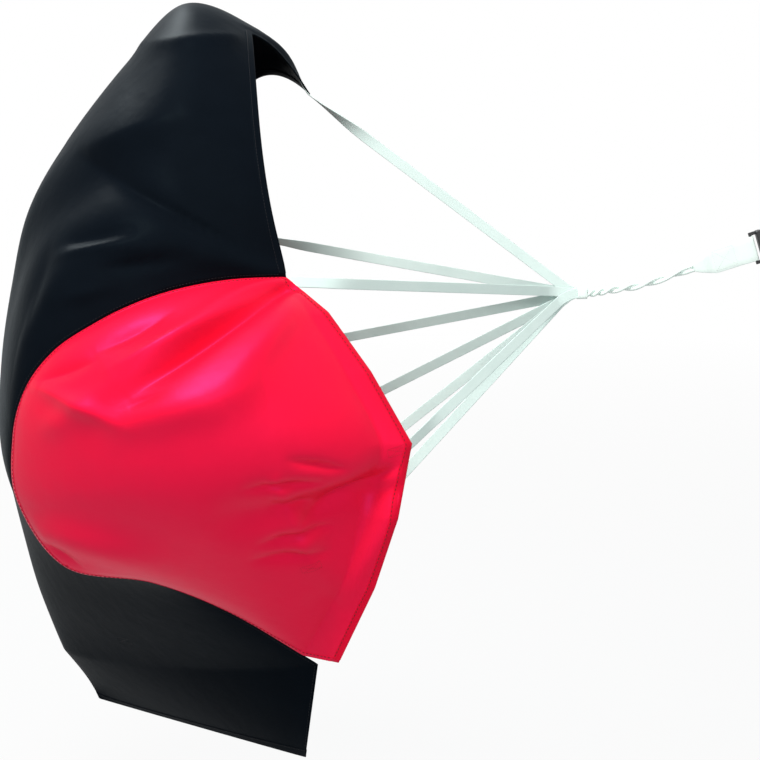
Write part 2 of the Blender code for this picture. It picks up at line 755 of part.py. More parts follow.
LOOP_RADIUS = BAR_REACH + CLEARANCE + WEBBING_THICK / 2
MOUTH_SPREAD = STRAND_RADIUS + CLEARANCE + WEBBING_THICK / 2
tab = []
tab_widths = []
for share in (0.0, 0.35, 0.7, 1.0):
    tab.append(Vector((TAB_END_X + TAB_TAPER * share, -MOUTH_SPREAD, 0)))
    tab_widths.append(TAB_END_WIDTH + (WEBBING_WIDTH - TAB_END_WIDTH) * share)
turn = arc((TAB_BAR_X, 0), LOOP_RADIUS, -90, 90, 8)
tab_widths += [WEBBING_WIDTH] * len(turn) + tab_widths[::-1]
tab += turn + [Vector((spot.x, -spot.y, 0)) for spot in tab[:4]][::-1]
ribbon("tow_tab", tab, [webbing_side(width) for width in tab_widths], WEBBING_THICK,
       WHITE_TAPE, TOW_AXIS)

PIN_LOOP_RADIUS = PIN_RADIUS + CLEARANCE + WEBBING_THICK / 2
loop = arc((0, 0), PIN_LOOP_RADIUS, -90, 90, 8)
loop += arc((-RELEASE_LOOP, 0), LOOP_RADIUS, 90, 270, 8)
ribbon("release_loop", loop, webbing_side(WEBBING_WIDTH), WEBBING_THICK, BLACK_WEBBING,
       TOW_AXIS, cyclic=True)


# Buckles: the plug pulls out of the socket's mouth along -X

def buckle_socket(name, parent):
    half, thick = BUCKLE_WIDTH / 2, BUCKLE_THICK / 2
    inside = half - BUCKLE_RAIL
    body = box(name, (0, -thick, -half), (BUCKLE_BODY, thick, half), BLACK_PLASTIC, parent,
               BUCKLE_ROUND)
    frame_end = BUCKLE_BODY + BUCKLE_SLOT + BUCKLE_BAR
    frame_half = BUCKLE_FRAME_THICK / 2
    frame = box(name + "_frame", (BUCKLE_BODY - BUCKLE_ROUND, -frame_half, -half),
                (frame_end, frame_half, half), parent=parent, rounding=BUCKLE_FRAME_THICK / 4)
    slot = box(name + "_slot", (BUCKLE_BODY, -thick, -WEBBING_WIDTH / 2 - OVERRUN),
               (BUCKLE_BODY + BUCKLE_SLOT, thick, WEBBING_WIDTH / 2 + OVERRUN), parent=parent)
    cavity_half = PRONG_THICK / 2 + 2 * CLEARANCE
    cavity = box(name + "_cavity", (-OVERRUN, -cavity_half, -inside),
                 (PRONG_LENGTH + 2 * OVERRUN, cavity_half, inside), parent=parent)
    windows = box(name + "_windows", (PRONG_LENGTH * 0.35, -cavity_half, -half - OVERRUN),
                  (PRONG_LENGTH * 0.85, cavity_half, half + OVERRUN), parent=parent)
    combine(body, frame, "UNION")
    for tool in (slot, cavity, windows):
        combine(body, tool, "DIFFERENCE")
    return body


def buckle_plug(name, parent):
    half, thick = BUCKLE_WIDTH / 2, BUCKLE_THICK / 2
    inside = half - BUCKLE_RAIL
    frame_half = BUCKLE_FRAME_THICK / 2
    body = box(name, (-PLUG_BASE, -thick, -half), (-CLEARANCE, thick, half), BLACK_PLASTIC,
               parent, BUCKLE_ROUND)
    frame = box(name + "_frame", (-PLUG_BASE - BUCKLE_SLOT - BUCKLE_BAR, -frame_half, -half),
                (-PLUG_BASE + BUCKLE_ROUND, frame_half, half), parent=parent,
                rounding=BUCKLE_FRAME_THICK / 4)
    slot = box(name + "_slot", (-PLUG_BASE - BUCKLE_SLOT, -thick, -WEBBING_WIDTH / 2 - OVERRUN),
               (-PLUG_BASE, thick, WEBBING_WIDTH / 2 + OVERRUN), parent=parent)
    prong = PRONG_THICK / 2
    tools = [frame]
    tools.append(box(name + "_tongue", (-BUCKLE_ROUND, -prong, -TONGUE_WIDTH / 2),
                     (PRONG_LENGTH, prong, TONGUE_WIDTH / 2), parent=parent))
    for side in (-1, 1):
        outer = inside - BUCKLE_RAIL / 2
        low, high = sorted((side * (outer - PRONG_WIDTH), side * outer))
        tools.append(box(name + "_prong", (-BUCKLE_ROUND, -prong, low),
                         (PRONG_LENGTH, prong, high), parent=parent))
        low, high = sorted((side * (outer - PRONG_WIDTH / 2), side * (inside - CLEARANCE)))
        tools.append(box(name + "_barb", (PRONG_LENGTH * 0.45, -prong, low),
                         (PRONG_LENGTH * 0.75, prong, high), parent=parent))
    for tool in tools:
        combine(body, tool, "UNION")
    combine(body, slot, "DIFFERENCE")
    return body


RELEASE_MOUTH = bpy.data.objects.new("release_mouth", None)
RELEASE_MOUTH.location = (MOUTH_X, 0, 0)
RELEASE_MOUTH.parent = TOW_AXIS
PARTS.objects.link(RELEASE_MOUTH)
buckle_socket("release_socket", RELEASE_MOUTH)
buckle_plug("release_plug", RELEASE_MOUTH)

# Anchor: a plate on the belt with two ears, and the pin that the release loop turns on
anchor = box("anchor_bracket", (ANCHOR_X - ANCHOR_THICK, -ANCHOR_WIDTH / 2, -ANCHOR_HEIGHT / 2),
             (ANCHOR_X, ANCHOR_WIDTH / 2, ANCHOR_HEIGHT / 2), BLACK_PLASTIC, None, EAR_ROUND)
ear_reach = PIN_REACH + ANCHOR_HEIGHT * math.sin(TOW_SLOPE)
for side in (-1, 1):
    low, high = sorted((side * EAR_LOW, side * EAR_HIGH))
    ear = box("ear", (-EAR_WIDTH / 2, -EAR_WIDTH / 2, low), (ear_reach, EAR_WIDTH / 2, high),
              parent=TOW_AXIS, rounding=EAR_ROUND)
    combine(anchor, ear, "UNION")
behind = box("behind_plate", (ANCHOR_X, -ANCHOR_WIDTH, -ANCHOR_HEIGHT),
             (ANCHOR_X + ear_reach + PIN_REACH, ANCHOR_WIDTH, ANCHOR_HEIGHT))
combine(anchor, behind, "DIFFERENCE")
pin_hole = rod("pin_hole", PIN_RADIUS + CLEARANCE, -EAR_HIGH - OVERRUN, EAR_HIGH + OVERRUN,
               parent=TOW_AXIS)
combine(anchor, pin_hole, "DIFFERENCE")
pin = rod("anchor_pin", PIN_RADIUS, -EAR_HIGH - CLEARANCE - PIN_HEAD_THICK / 2,
          EAR_HIGH + CLEARANCE + PIN_HEAD_THICK / 2, STEEL, TOW_AXIS)
for side in (-1, 1):
    low, high = sorted((side * (EAR_HIGH + CLEARANCE),
                        side * (EAR_HIGH + CLEARANCE + PIN_HEAD_THICK)))
    combine(pin, rod("pin_head", PIN_HEAD, low, high, parent=TOW_AXIS), "UNION")


# Back pad: lining, foam and cover, each a plate with round corners

def pad_layer(name, back, front, surface):
    curve = bpy.data.curves.new(name, "CURVE")
    curve.dimensions = "2D"
    curve.fill_mode = "BOTH"
    curve.extrude = (front - back) / 2
    outline = []
    half_y, half_z = PAD_WIDTH / 2 - PAD_CORNER, PAD_HEIGHT / 2 - PAD_CORNER
    for ky, kz, start in ((1, 1, 0), (-1, 1, 90), (-1, -1, 180), (1, -1, 270)):
        outline += arc((ky * half_y, kz * half_z), PAD_CORNER, start, start + 90, 5)
    spline = curve.splines.new("POLY")
    spline.points.add(len(outline) - 1)
    for held, spot in zip(spline.points, outline):
        held.co = (spot.x, spot.y, 0, 1)
    spline.use_cyclic_u = True
    curve.materials.append(surface)
    made = bpy.data.objects.new(name, curve)
    made.matrix_world = Matrix(((0, 0, 1, (front + back) / 2), (1, 0, 0, 0), (0, 1, 0, 0),
                                (0, 0, 0, 1)))
    PARTS.objects.link(made)


pad_layer("pad_lining", -PAD_SKIN, 0, PAD_LINING)
pad_layer("pad_foam", -PAD_SKIN - CLEARANCE - PAD_FOAM, -PAD_SKIN - CLEARANCE, PAD_FOAM_SURFACE)
pad_layer("pad_cover", -PAD_THICK, -PAD_THICK + PAD_SKIN, BLACK_WEBBING)

# Waist belt, seen from above: from the right of the front, round the back of the pad, and
# folded back round the socket's bar
BELT_FRONT = BELT_X + WAIST_DEPTH
FRONT_BAR_RADIUS = BAR_REACH + CLEARANCE + BELT_THICK / 2
BAR_X = BELT_FRONT + FRONT_BAR_RADIUS
BELT_LAYER = BELT_THICK + CLEARANCE
LAP_X = BELT_FRONT + BELT_LAYER
TAIL_X = LAP_X + BELT_LAYER
OUTER_X = BELT_FRONT + 2 * FRONT_BAR_RADIUS
corner_x = (BELT_X + BELT_CORNER, BELT_FRONT - BELT_CORNER)
belt = [Vector((LAP_X, SOCKET_BAR_Y + 2 * SIDE_FOLD + BELT_TAIL, 0)),
        Vector((LAP_X, SOCKET_BAR_Y + 2 * SIDE_FOLD, 0)),
        Vector((OUTER_X, SOCKET_BAR_Y + SIDE_FOLD, 0))]
belt += arc((BAR_X, SOCKET_BAR_Y), FRONT_BAR_RADIUS, 0, -180, 8)
belt += arc((corner_x[1], STRAIGHT_HALF), BELT_CORNER, 0, 90, 10)
belt += arc((corner_x[0], STRAIGHT_HALF), BELT_CORNER, 90, 180, 10)
belt += arc((corner_x[0], -STRAIGHT_HALF), BELT_CORNER, 180, 270, 10)
belt += arc((corner_x[1], -STRAIGHT_HALF), BELT_CORNER, 270, 360, 10)
belt.append(Vector((BELT_FRONT, BELT_END_Y, 0)))
ribbon("belt_webbing", belt, webbing_side(WEBBING_WIDTH), BELT_THICK, BLACK_WEBBING)

# Adjuster strap: round the plug's bar, both ends through the slider on the belt
strap_end = BELT_END_Y - SLIDER_WIDTH - BELT_TAIL / 2
adjuster = [Vector((LAP_X, strap_end, 0)), Vector((LAP_X, STRAP_LAID_Y, 0)),
            Vector((BELT_FRONT, STRAP_LAID_Y + SIDE_FOLD, 0))]
adjuster += arc((BAR_X, PLUG_BAR_Y), FRONT_BAR_RADIUS, 180, 0, 8)
adjuster += [Vector((OUTER_X, STRAP_LAID_Y + SIDE_FOLD, 0)), Vector((TAIL_X, STRAP_LAID_Y, 0)),
             Vector((TAIL_X, strap_end - BELT_TAIL / 2, 0))]
ribbon("belt_adjuster", adjuster, webbing_side(WEBBING_WIDTH), BELT_THICK, BLACK_WEBBING)

FRONT_MOUTH = bpy.data.objects.new("front_mouth", None)
FRONT_MOUTH.location = (BAR_X, BUCKLE_OFFSET, 0)
FRONT_MOUTH.rotation_euler = (0, 0, math.radians(90))
PARTS.objects.link(FRONT_MOUTH)
buckle_socket("belt_socket", FRONT_MOUTH)
buckle_plug("belt_plug", FRONT_MOUTH)

# Slider that holds the adjuster on the belt
slider_half_x = BELT_LAYER + BELT_THICK / 2 + CLEARANCE + SLIDER_THICK / 2
slider_half_z = WEBBING_WIDTH / 2 + CLEARANCE + SLIDER_THICK / 2
slider = []
for kx, kz in ((-1, -1), (1, -1), (1, 1), (-1, 1)):
    slider.append(Vector((LAP_X + kx * slider_half_x, SLIDER_Y, kz * slider_half_z)))
ribbon("belt_slider", slider, Vector((0, SLIDER_WIDTH / 2, 0)), SLIDER_THICK, BLACK_PLASTIC,
       cyclic=True)

# Keepers sewn to the pad's cover, over the belt
foot_x = -PAD_THICK - CLEARANCE - KEEPER_THICK / 2
over_x = ANCHOR_X - KEEPER_THICK / 2
over_z = WEBBING_WIDTH / 2 + CLEARANCE + KEEPER_THICK / 2
for name, side in (("pad_keeper_left", 1), ("pad_keeper_right", -1)):
    spine = []
    for x, z in ((foot_x, -over_z - KEEPER_FOOT), (foot_x, -over_z), (over_x, -over_z),
                 (over_x, over_z), (foot_x, over_z), (foot_x, over_z + KEEPER_FOOT)):
        spine.append(Vector((x, side * KEEPER_PLACE, z)))
    ribbon(name, spine, Vector((0, KEEPER_WIDTH / 2, 0)), KEEPER_THICK, BLACK_WEBBING)
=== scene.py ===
# The looks of the speed parachute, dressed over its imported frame.
# Metres, +Z up, +X the way the runner runs, -Y the side that shows the red panel.

import math

import bpy
from mathutils import Matrix, Vector
from mathutils.bvhtree import BVHTree


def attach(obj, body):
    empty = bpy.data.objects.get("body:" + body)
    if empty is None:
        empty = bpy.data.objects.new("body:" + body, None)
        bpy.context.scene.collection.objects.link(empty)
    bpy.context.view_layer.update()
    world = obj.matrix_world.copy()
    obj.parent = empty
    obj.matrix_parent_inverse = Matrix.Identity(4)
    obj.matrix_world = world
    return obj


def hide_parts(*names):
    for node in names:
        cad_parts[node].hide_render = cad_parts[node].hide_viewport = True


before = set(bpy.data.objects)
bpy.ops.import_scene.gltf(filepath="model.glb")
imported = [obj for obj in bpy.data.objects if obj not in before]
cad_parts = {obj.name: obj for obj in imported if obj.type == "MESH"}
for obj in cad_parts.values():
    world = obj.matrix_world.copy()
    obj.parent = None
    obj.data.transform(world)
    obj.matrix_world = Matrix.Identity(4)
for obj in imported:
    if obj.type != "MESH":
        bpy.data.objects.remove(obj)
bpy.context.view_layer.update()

# Sizes, the same as in the frame's own source
CANOPY_SPAN = 1.14
STRAP_WIDTH = 0.015
STRAP_THICK = 0.0009
STRAP_LAP = 0.040
HEM_WIDTH = 0.012
WEBBING_WIDTH = 0.038
WEBBING_THICK = 0.0015
TAB_TAPER = 0.026
STRAND_RADIUS = 0.003
STRAND_TURNS = 3
CLEARANCE = 0.0003
TOW_SLOPE = math.radians(17)
PIN_X = -0.035
TAB_BAR_X = -0.084
TAB_END_X = -0.182
KNOT_SHARES = (0.245, 0, 0.0565)  # from the knot to the tab's bar
TOW_FRAME = Matrix.Translation((PIN_X, 0, 0)) @ Matrix.Rotation(-TOW_SLOPE, 4, "Y")
KNOT = TOW_FRAME @ Vector((TAB_BAR_X, 0, 0)) - CANOPY_SPAN * Vector(KNOT_SHARES)
STACK_PITCH = STRAP_THICK + CLEARANCE
STACK_END = STRAP_WIDTH
FAN_LENGTH = 1.6 * STRAP_WIDTH

# Canopy places, as shares of CANOPY_SPAN from the knot
STRIP_NEAR_SHARES = (
    (-0.400, -0.254, 0.050), (-0.466, -0.276, 0.050), (-0.529, -0.289, 0.041),
    (-0.582, -0.298, 0.025), (-0.631, -0.298, 0.001), (-0.677, -0.289, -0.031),
    (-0.711, -0.272, -0.078), (-0.727, -0.254, -0.140),
    (-0.723, -0.237, -0.219), (-0.667, -0.237, -0.300), (-0.562, -0.237, -0.322),
    (-0.467, -0.228, -0.365), (-0.360, -0.219, -0.435), (-0.374, -0.193, -0.561),
)
STRIP_RIDGE_SHARES = (
    (-0.347, 0.000, 0.262), (-0.411, 0.000, 0.340), (-0.505, 0.000, 0.377),
    (-0.580, 0.000, 0.303), (-0.655, 0.000, 0.207), (-0.704, 0.000, 0.122),
    (-0.729, 0.000, 0.029), (-0.745, 0.000, -0.064), (-0.749, 0.000, -0.162),
    (-0.736, 0.009, -0.249), (-0.701, 0.026, -0.327), (-0.653, 0.035, -0.418),
    (-0.580, 0.026, -0.493), (-0.494, 0.018, -0.580),
)
STRIP_FAR_SHARES = (
    (-0.408, 0.250, 0.066), (-0.468, 0.274, 0.060),
    *((x, -y, z) for x, y, z in STRIP_NEAR_SHARES[2:8]), (-0.722, 0.240, -0.219),
    (-0.718, 0.230, -0.295), (-0.697, 0.219, -0.358), (-0.679, 0.219, -0.425),
    (-0.662, 0.219, -0.508), (-0.629, 0.211, -0.588),
)
HEM_NEAR_SHARES = (
    (-0.400, -0.254, 0.050), (-0.352, -0.278, 0.010), (-0.303, -0.299, -0.060),
    (-0.256, -0.311, -0.145), (-0.272, -0.309, -0.235), (-0.298, -0.289, -0.325),
    (-0.338, -0.254, -0.425),
)
HEM_FAR_SHARES = (
    (-0.408, 0.250, 0.066), (-0.380, 0.264, 0.020), (-0.332, 0.278, -0.038),
    (-0.276, 0.290, -0.090), (-0.334, 0.281, -0.224), (-0.511, 0.263, -0.360),
    (-0.662, 0.219, -0.508),
)
SEAM_STATION_SHARES = (6, 9, 12)
BULGE_SHARE = 0.105
SCALLOP_SHARE = 0.090
BEAK_SHARES = (0.16, 0.55)
STRAP_END_SHARES = (
    ("strap_top_middle", "strip", (-0.347, 0.000, 0.262)),
    ("strap_top_far", "far", (-0.412, 0.250, 0.055)),
    ("strap_top_near", "near", (-0.404, -0.250, 0.040)),
    ("strap_far_middle", "far", (-0.281, 0.289, -0.092)),
    ("strap_bottom_far", "far", (-0.338, 0.280, -0.224)),
    ("strap_near_middle", "near", (-0.262, -0.310, -0.147)),
    ("strap_bottom_near", "near", (-0.369, -0.289, -0.283)),
    ("strap_bottom_middle", "strip", (-0.540, 0.020, -0.400)),
)
TOW_PATH_SHARES = ((0.051, 0.0035), (0.098, 0.011))

# Broad folds, which the frame has too: start and end on the surface, width, height
STRIP_FOLD_SHARES = (
    ((0.02, -0.95), (0.30, -0.30), 0.10, -0.012),
    ((0.02, -0.98), (0.36, -0.72), 0.10, 0.010),
    ((0.10, -0.60), (0.34, -0.10), 0.10, 0.008),
)
NEAR_FOLD_SHARES = (
    ((0.02, 0.04), (0.70, 0.30), 0.07, -0.016),
    ((0.04, 0.02), (0.84, 0.34), 0.06, 0.012),
    ((0.00, 0.60), (0.42, 0.72), 0.06, -0.012),
    ((0.30, 0.60), (0.12, 0.84), 0.05, 0.008),
)
FAR_FOLD_SHARES = (
    ((0.10, 0.08), (0.66, 0.36), 0.08, -0.012),
    ((0.26, 0.54), (0.70, 0.62), 0.09, 0.010),
)

# Camera at the photograph's viewing angle
VIEW_TURN = math.radians(-7)
VIEW_RISE = math.radians(8)
VIEW_DISTANCE = 3.6
VIEW_AIM = (0.29157, 0, 0.12743)  # from the photograph's middle to the knot
FOCAL_PIXELS = 2400
FRAME_PIXELS = 760
VIEW = Matrix.Rotation(VIEW_TURN, 3, "Z") @ Matrix.Rotation(math.pi / 2 - VIEW_RISE, 3, "X")
VIEW_PLACE = KNOT - Vector(VIEW_AIM) + VIEW.col[2] * VIEW_DISTANCE

scene = bpy.context.scene


def placed(name, data):
    """A new object in the scene."""
    made = bpy.data.objects.new(name, data)
    scene.collection.objects.link(made)
    return made


camera = placed("camera", bpy.data.cameras.new("camera"))
camera.data.sensor_width = 36
camera.data.lens = FOCAL_PIXELS * camera.data.sensor_width / FRAME_PIXELS
camera.matrix_world = Matrix.Translation(VIEW_PLACE) @ VIEW.to_4x4()
scene.camera = camera


def seen_at(point):
    """Where a place of the row frame falls in the photograph, in its pixels."""
    right, up, back = (point - VIEW_PLACE) @ VIEW
    return (FRAME_PIXELS / 2 - FOCAL_PIXELS * right / back,
            FRAME_PIXELS / 2 + FOCAL_PIXELS * up / back)


def at(x, y=0.0, z=0.0):
    return Vector((x, y, z))


def clamp(value):
    return min(max(value, 0.0), 1.0)


def smooth_step(value, low=0.0, high=1.0):
    share = clamp((value - low) / (high - low))
    return share * share * (3 - 2 * share)


def distances(points):
    """How far each point lies along its line."""
    reach = [0.0]
    for a, b in zip(points, points[1:]):
        reach.append(reach[-1] + (b - a).length)
    return reach


def ways_along(points, ring=False):
    """Which way a line of points runs, at each of them."""
    first, last = (points[-1], points[0]) if ring else (points[0], points[-1])
    return [after - before for before, after in zip([first, *points], [*points[1:], last])]


def spokes(one, two, count):
    """Ways round a circle, from one towards two."""
    turns = [2 * math.pi * k / count for k in range(count)]
    return [one * math.cos(turn) + two * math.sin(turn) for turn in turns]


# Materials

class Nodes:
    """Short names for making the nodes of a material or of the world."""

    def __init__(self, holder):
        holder.use_nodes = True
        self.tree = holder.node_tree

    def put(self, socket, value):
        if isinstance(value, bpy.types.NodeSocket):
            self.tree.links.new(value, socket)
        else:
            socket.default_value = (*value, 1.0) if socket.type == "RGBA" else value

    def fill(self, node, *values, **inputs):
        """Sets a node's inputs, in their own order or by their names."""
        for socket, value in zip(node.inputs, values):
            self.put(socket, value)
        for key, value in inputs.items():
            self.put(node.inputs[key.replace("_", " ")], value)
        return node

    def add(self, kind, *values, **inputs):
        return self.fill(self.tree.nodes.new(kind), *values, **inputs)

    def math(self, operation, *values):
        node = self.add("ShaderNodeMath", *values)
        node.operation = operation
        return node.outputs[0]

    def background_rays(self):
        """1 for rays that show the background: from the camera, or past metal and glass."""
        rays = self.add("ShaderNodeLightPath").outputs
        return self.math("MAXIMUM", rays["Is Camera Ray"],
                         self.math("MAXIMUM", rays["Is Glossy Ray"], rays["Is Transmission Ray"]))


class Surface(Nodes):
    """A material whose patterns lie in the object's own places."""

    def __init__(self, name):
        self.material = bpy.data.materials.new(name)
        super().__init__(self.material)
        self.place = self.add("ShaderNodeTexCoord").outputs["Object"]

    def split(self, vector):
        return self.add("ShaderNodeSeparateXYZ", Vector=vector).outputs[:]

    def mix(self, share, low, high):
        node = self.add("ShaderNodeMix", share)
        node.data_type = "RGBA"
        self.put(node.inputs[6], low)
        self.put(node.inputs[7], high)
        return node.outputs[2]

    def noise(self, scale, detail, vector=None):
        return self.add("ShaderNodeTexNoise", Vector=vector or self.place, Scale=scale,
                        Detail=detail).outputs[0]

    def wave(self, value, length):
        return self.math("SINE", self.math("MULTIPLY", value, 2 * math.pi / length))

    def total(self, *parts):
        """The sum of values, each times its weight."""
        whole = 0.0
        for value, weight in parts:
            whole = self.math("MULTIPLY_ADD", value, weight, whole)
        return whole

    def bump(self, height, distance, normal=None):
        node = self.add("ShaderNodeBump", Height=height, Distance=distance)
        if normal:
            self.fill(node, Normal=normal)
        return node.outputs[0]

    def look(self, **values):
        self.fill(self.tree.nodes["Principled BSDF"], **values)
        return self.material


def times(colour, share):
    return [part * share for part in colour]


THREAD_PITCH = 0.0007


def nylon(name, colour, deep, roughness, specular, tint, sheen, sheen_tint):
    """Thin coated nylon: a plain weave, fine crinkles and a little unevenness of dye."""
    n = Surface(name)
    u, v, _ = n.split(n.add("ShaderNodeUVMap").outputs[0])
    weave = n.math("MULTIPLY", n.wave(u, THREAD_PITCH), n.wave(v, THREAD_PITCH))
    crinkle = n.noise(30.0, 4.0)
    shade = n.total((n.noise(3.0, 2.0), 0.65), (crinkle, 0.35))
    normal = n.bump(n.noise(160.0, 2.0), 0.00006, n.bump(crinkle, 0.0008))
    return n.look(Base_Color=n.mix(shade, deep, colour), Roughness=roughness,
                  Specular_IOR_Level=specular, Specular_Tint=tint, Sheen_Weight=sheen,
                  Sheen_Tint=sheen_tint, Sheen_Roughness=0.35,
                  Normal=n.bump(weave, 0.00001, normal))


def woven(name, colour, deep, rib, roughness):
    """Woven tape: a herringbone of ribs, with a little unevenness and fluff."""
    n = Surface(name)
    u, v, _ = n.split(n.add("ShaderNodeUVMap").outputs[0])
    swing = n.wave(v, rib * 1.6)
    slant = n.math("SINE", n.total((u, 2 * math.pi / rib), (swing, 0.9)))
    weave = n.total((slant, 0.6), (swing, 0.4))
    fine = n.noise(420.0, 2.0)
    shade = n.total((weave, 0.06), (n.noise(22.0, 4.0), 0.9), (fine, 0.15))
    return n.look(Base_Color=n.mix(shade, deep, colour), Roughness=roughness,
                  Specular_IOR_Level=0.08,
                  Normal=n.bump(fine, 0.000002, n.bump(weave, rib * 0.003)))


def moulded(name, colour, roughness):
    """Moulded plastic: a fine spark-eroded grain and slightly rubbed high places."""
    n = Surface(name)
    wear = n.noise(60.0, 4.0)
    mixed = n.mix(n.math("MULTIPLY", wear, 0.7), colour, times(colour, 1.9))
    return n.look(Base_Color=mixed, Roughness=n.math("MULTIPLY_ADD", wear, 0.16, roughness),
                  Specular_IOR_Level=0.45, Normal=n.bump(n.noise(1400.0, 2.0), 0.00008))


def brushed(name, colour):
    """Brushed steel, its lines along the pin."""
    n = Surface(name)
    lines = n.add("ShaderNodeMapping", Vector=n.place, Scale=(900.0, 900.0, 40.0)).outputs[0]
    grain = n.noise(1.0, 3.0, lines)
    return n.look(Base_Color=colour, Metallic=1.0,
                  Roughness=n.math("MULTIPLY_ADD", grain, 0.18, 0.24),
                  Normal=n.bump(grain, 0.00003))


def knitted(name, colour, deep, cell):
    """Spacer mesh of the pad's lining: round eyelets in rows, half a cell apart."""
    n = Surface(name)
    _, y, z = n.split(n.place)
    turn = 2 * math.pi / cell
    holes = n.math("MULTIPLY", n.math("SINE", n.total((y, turn), (z, turn))),
                   n.math("SINE", n.total((y, turn), (z, -turn))))
    fine = n.noise(500.0, 2.0)
    shade = n.total((holes, 0.45), (fine, 0.9))
    return n.look(Base_Color=n.mix(shade, deep, colour), Roughness=0.9, Specular_IOR_Level=0.2,
                  Sheen_Weight=0.2, Normal=n.bump(fine, 0.0001, n.bump(holes, 0.0006)))


def spun(name, colour):
    """Sewing thread: its plies wind round it, too fine to follow with UVs."""
    n = Surface(name)
    ply = n.noise(2600.0, 1.0)
    return n.look(Base_Color=n.mix(ply, times(colour, 0.55), colour), Roughness=0.6,
                  Specular_IOR_Level=0.3, Normal=n.bump(ply, 0.00005))


RIB = 0.0011
BLACK_NYLON = nylon("black_nylon", (0.0040, 0.0062, 0.0095), (0.0020, 0.0030, 0.0046),
                    roughness=0.42, specular=0.007, tint=(0.60, 0.90, 1.0),
                    sheen=0.01, sheen_tint=(0.50, 0.88, 1.0))
RED_NYLON = nylon("red_nylon", (0.80, 0.0055, 0.032), (0.71, 0.0050, 0.027),
                  roughness=0.46, specular=0.36, tint=(1.0, 0.16, 1.0),
                  sheen=0.0, sheen_tint=(1.0, 0.14, 0.72))
# the mouth hems' red is darker than the cloth's: painted shade along the turned edge
RED_HEM_PAINTED_SHADE = nylon("red_nylon_hem_painted_shade", (0.70, 0.0050, 0.026), (0.60, 0.0040, 0.021),
                roughness=0.46, specular=0.16, tint=(1.0, 0.14, 0.95),
                sheen=0.0, sheen_tint=(1.0, 0.14, 0.72))
WHITE_WEAVE = woven("white_webbing_weave", (0.84, 0.95, 0.90), (0.72, 0.83, 0.78), RIB, 0.62)
# the straps' tape white is darker than the webbing's: painted shade of the thin straps
TAPE_WEAVE_PAINTED_SHADE = woven("white_tape_weave_painted_shade", (0.69, 0.81, 0.77), (0.58, 0.71, 0.67), RIB, 0.62)
BLACK_WEAVE = woven("black_webbing_weave", (0.017, 0.017, 0.019), (0.006, 0.006, 0.007),
                    2 * RIB, 0.70)
PLASTIC = moulded("black_moulding", (0.012, 0.012, 0.013), 0.36)
STEEL = brushed("pin_steel", (0.60, 0.60, 0.62))
LINING = knitted("lining_mesh", (0.055, 0.055, 0.060), (0.012, 0.012, 0.014), 0.0042)
WHITE_THREAD = spun("white_thread", (0.78, 0.84, 0.81))
BLACK_THREAD = spun("black_thread", (0.016, 0.016, 0.018))
DARK_THREAD = spun("dark_red_thread", (0.10, 0.005, 0.010))
RED_THREAD = spun("red_thread", (0.50, 0.007, 0.024))

# What a piece is made of, the body that it rides on and its slot
RED_CLOTH = (RED_NYLON, "chute", "red_cloth")
BLACK_CLOTH = (BLACK_NYLON, "chute", "black_cloth")
WHITE_TAPE = (WHITE_WEAVE, "chute", "white_tape")
BLACK_WEBBING = (BLACK_WEAVE, "harness", "black_webbing")
WHITE_SEWING = (WHITE_THREAD, "chute", "white_tape")
BLACK_SEWING = (BLACK_THREAD, "harness", "black_webbing")


# Meshes

def mesh_of(name, points, faces):
    mesh = bpy.data.meshes.new(name)
    mesh.from_pydata([tuple(point) for point in points], [], faces)
    mesh.shade_smooth()
    return mesh


def piece(name, mesh, surface_of, body, slot, *nodes):
    """An object of the looks that rides on a body and stands for nodes of the frame."""
    made = placed(name, mesh)
    mesh.materials.append(surface_of)
    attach(made, body)
    if nodes:
        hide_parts(*nodes)
    return made


def sheet_mesh(name, rows, round_rows=False, caps=0, ring=False):
    """Quads over equal rows of points, with UVs in metres.

    round_rows closes each row and ring joins the last row to the first; caps closes the first
    row only, or with 2 the last one too.
    """
    across, count = len(rows[0]), len(rows)
    along_at = distances([row[across // 2] for row in (rows + rows[:1] if ring else rows)])
    broad = rows[count // 2]
    across_at = distances(broad + broad[:1] if round_rows else broad)
    faces, corners = [], []
    for i in range(len(along_at) - 1):
        here, there = i * across, (i + 1) % count * across
        for j in range(len(across_at) - 1):
            k = (j + 1) % across
            faces.append((here + j, here + k, there + k, there + j))
            corners += [(along_at[i], across_at[j]), (along_at[i], across_at[j + 1]),
                        (along_at[i + 1], across_at[j + 1]), (along_at[i + 1], across_at[j])]
    last = (count - 1) * across
    for cap in (tuple(reversed(range(across))), tuple(range(last, last + across)))[:caps]:
        faces.append(cap)
        corners += [(0.0, width) for width in across_at[:across]]
    mesh = mesh_of(name, [point for row in rows for point in row], faces)
    for loop, corner in zip(mesh.uv_layers.new(name="UVMap").data, corners):
        loop.uv = corner
    return mesh


def laid(name, rows, made_of, *nodes, thickness=0.0, **form):
    """A piece that is a sheet over rows of points, with a thickness to both sides if given."""
    made = piece(name, sheet_mesh(name, rows, **form), *made_of, *nodes)
    if thickness:
        solid = made.modifiers.new("thickness", "SOLIDIFY")
        solid.thickness = thickness
        solid.offset = 0.0
    return made


def tube_rows(points, radius, sides):
    """Rings round a line of points."""
    rows = []
    side = at(0, 1)
    for spot, way in zip(points, ways_along(points)):
        along = way.normalized()
        side = (side - along * side.dot(along)).normalized()
        rows.append([spot + radius * out for out in spokes(side, along.cross(side), sides)])
    return rows


# Canopy surfaces, as in the frame but finer

def canopy_place(shares):
    return KNOT + CANOPY_SPAN * Vector(shares)


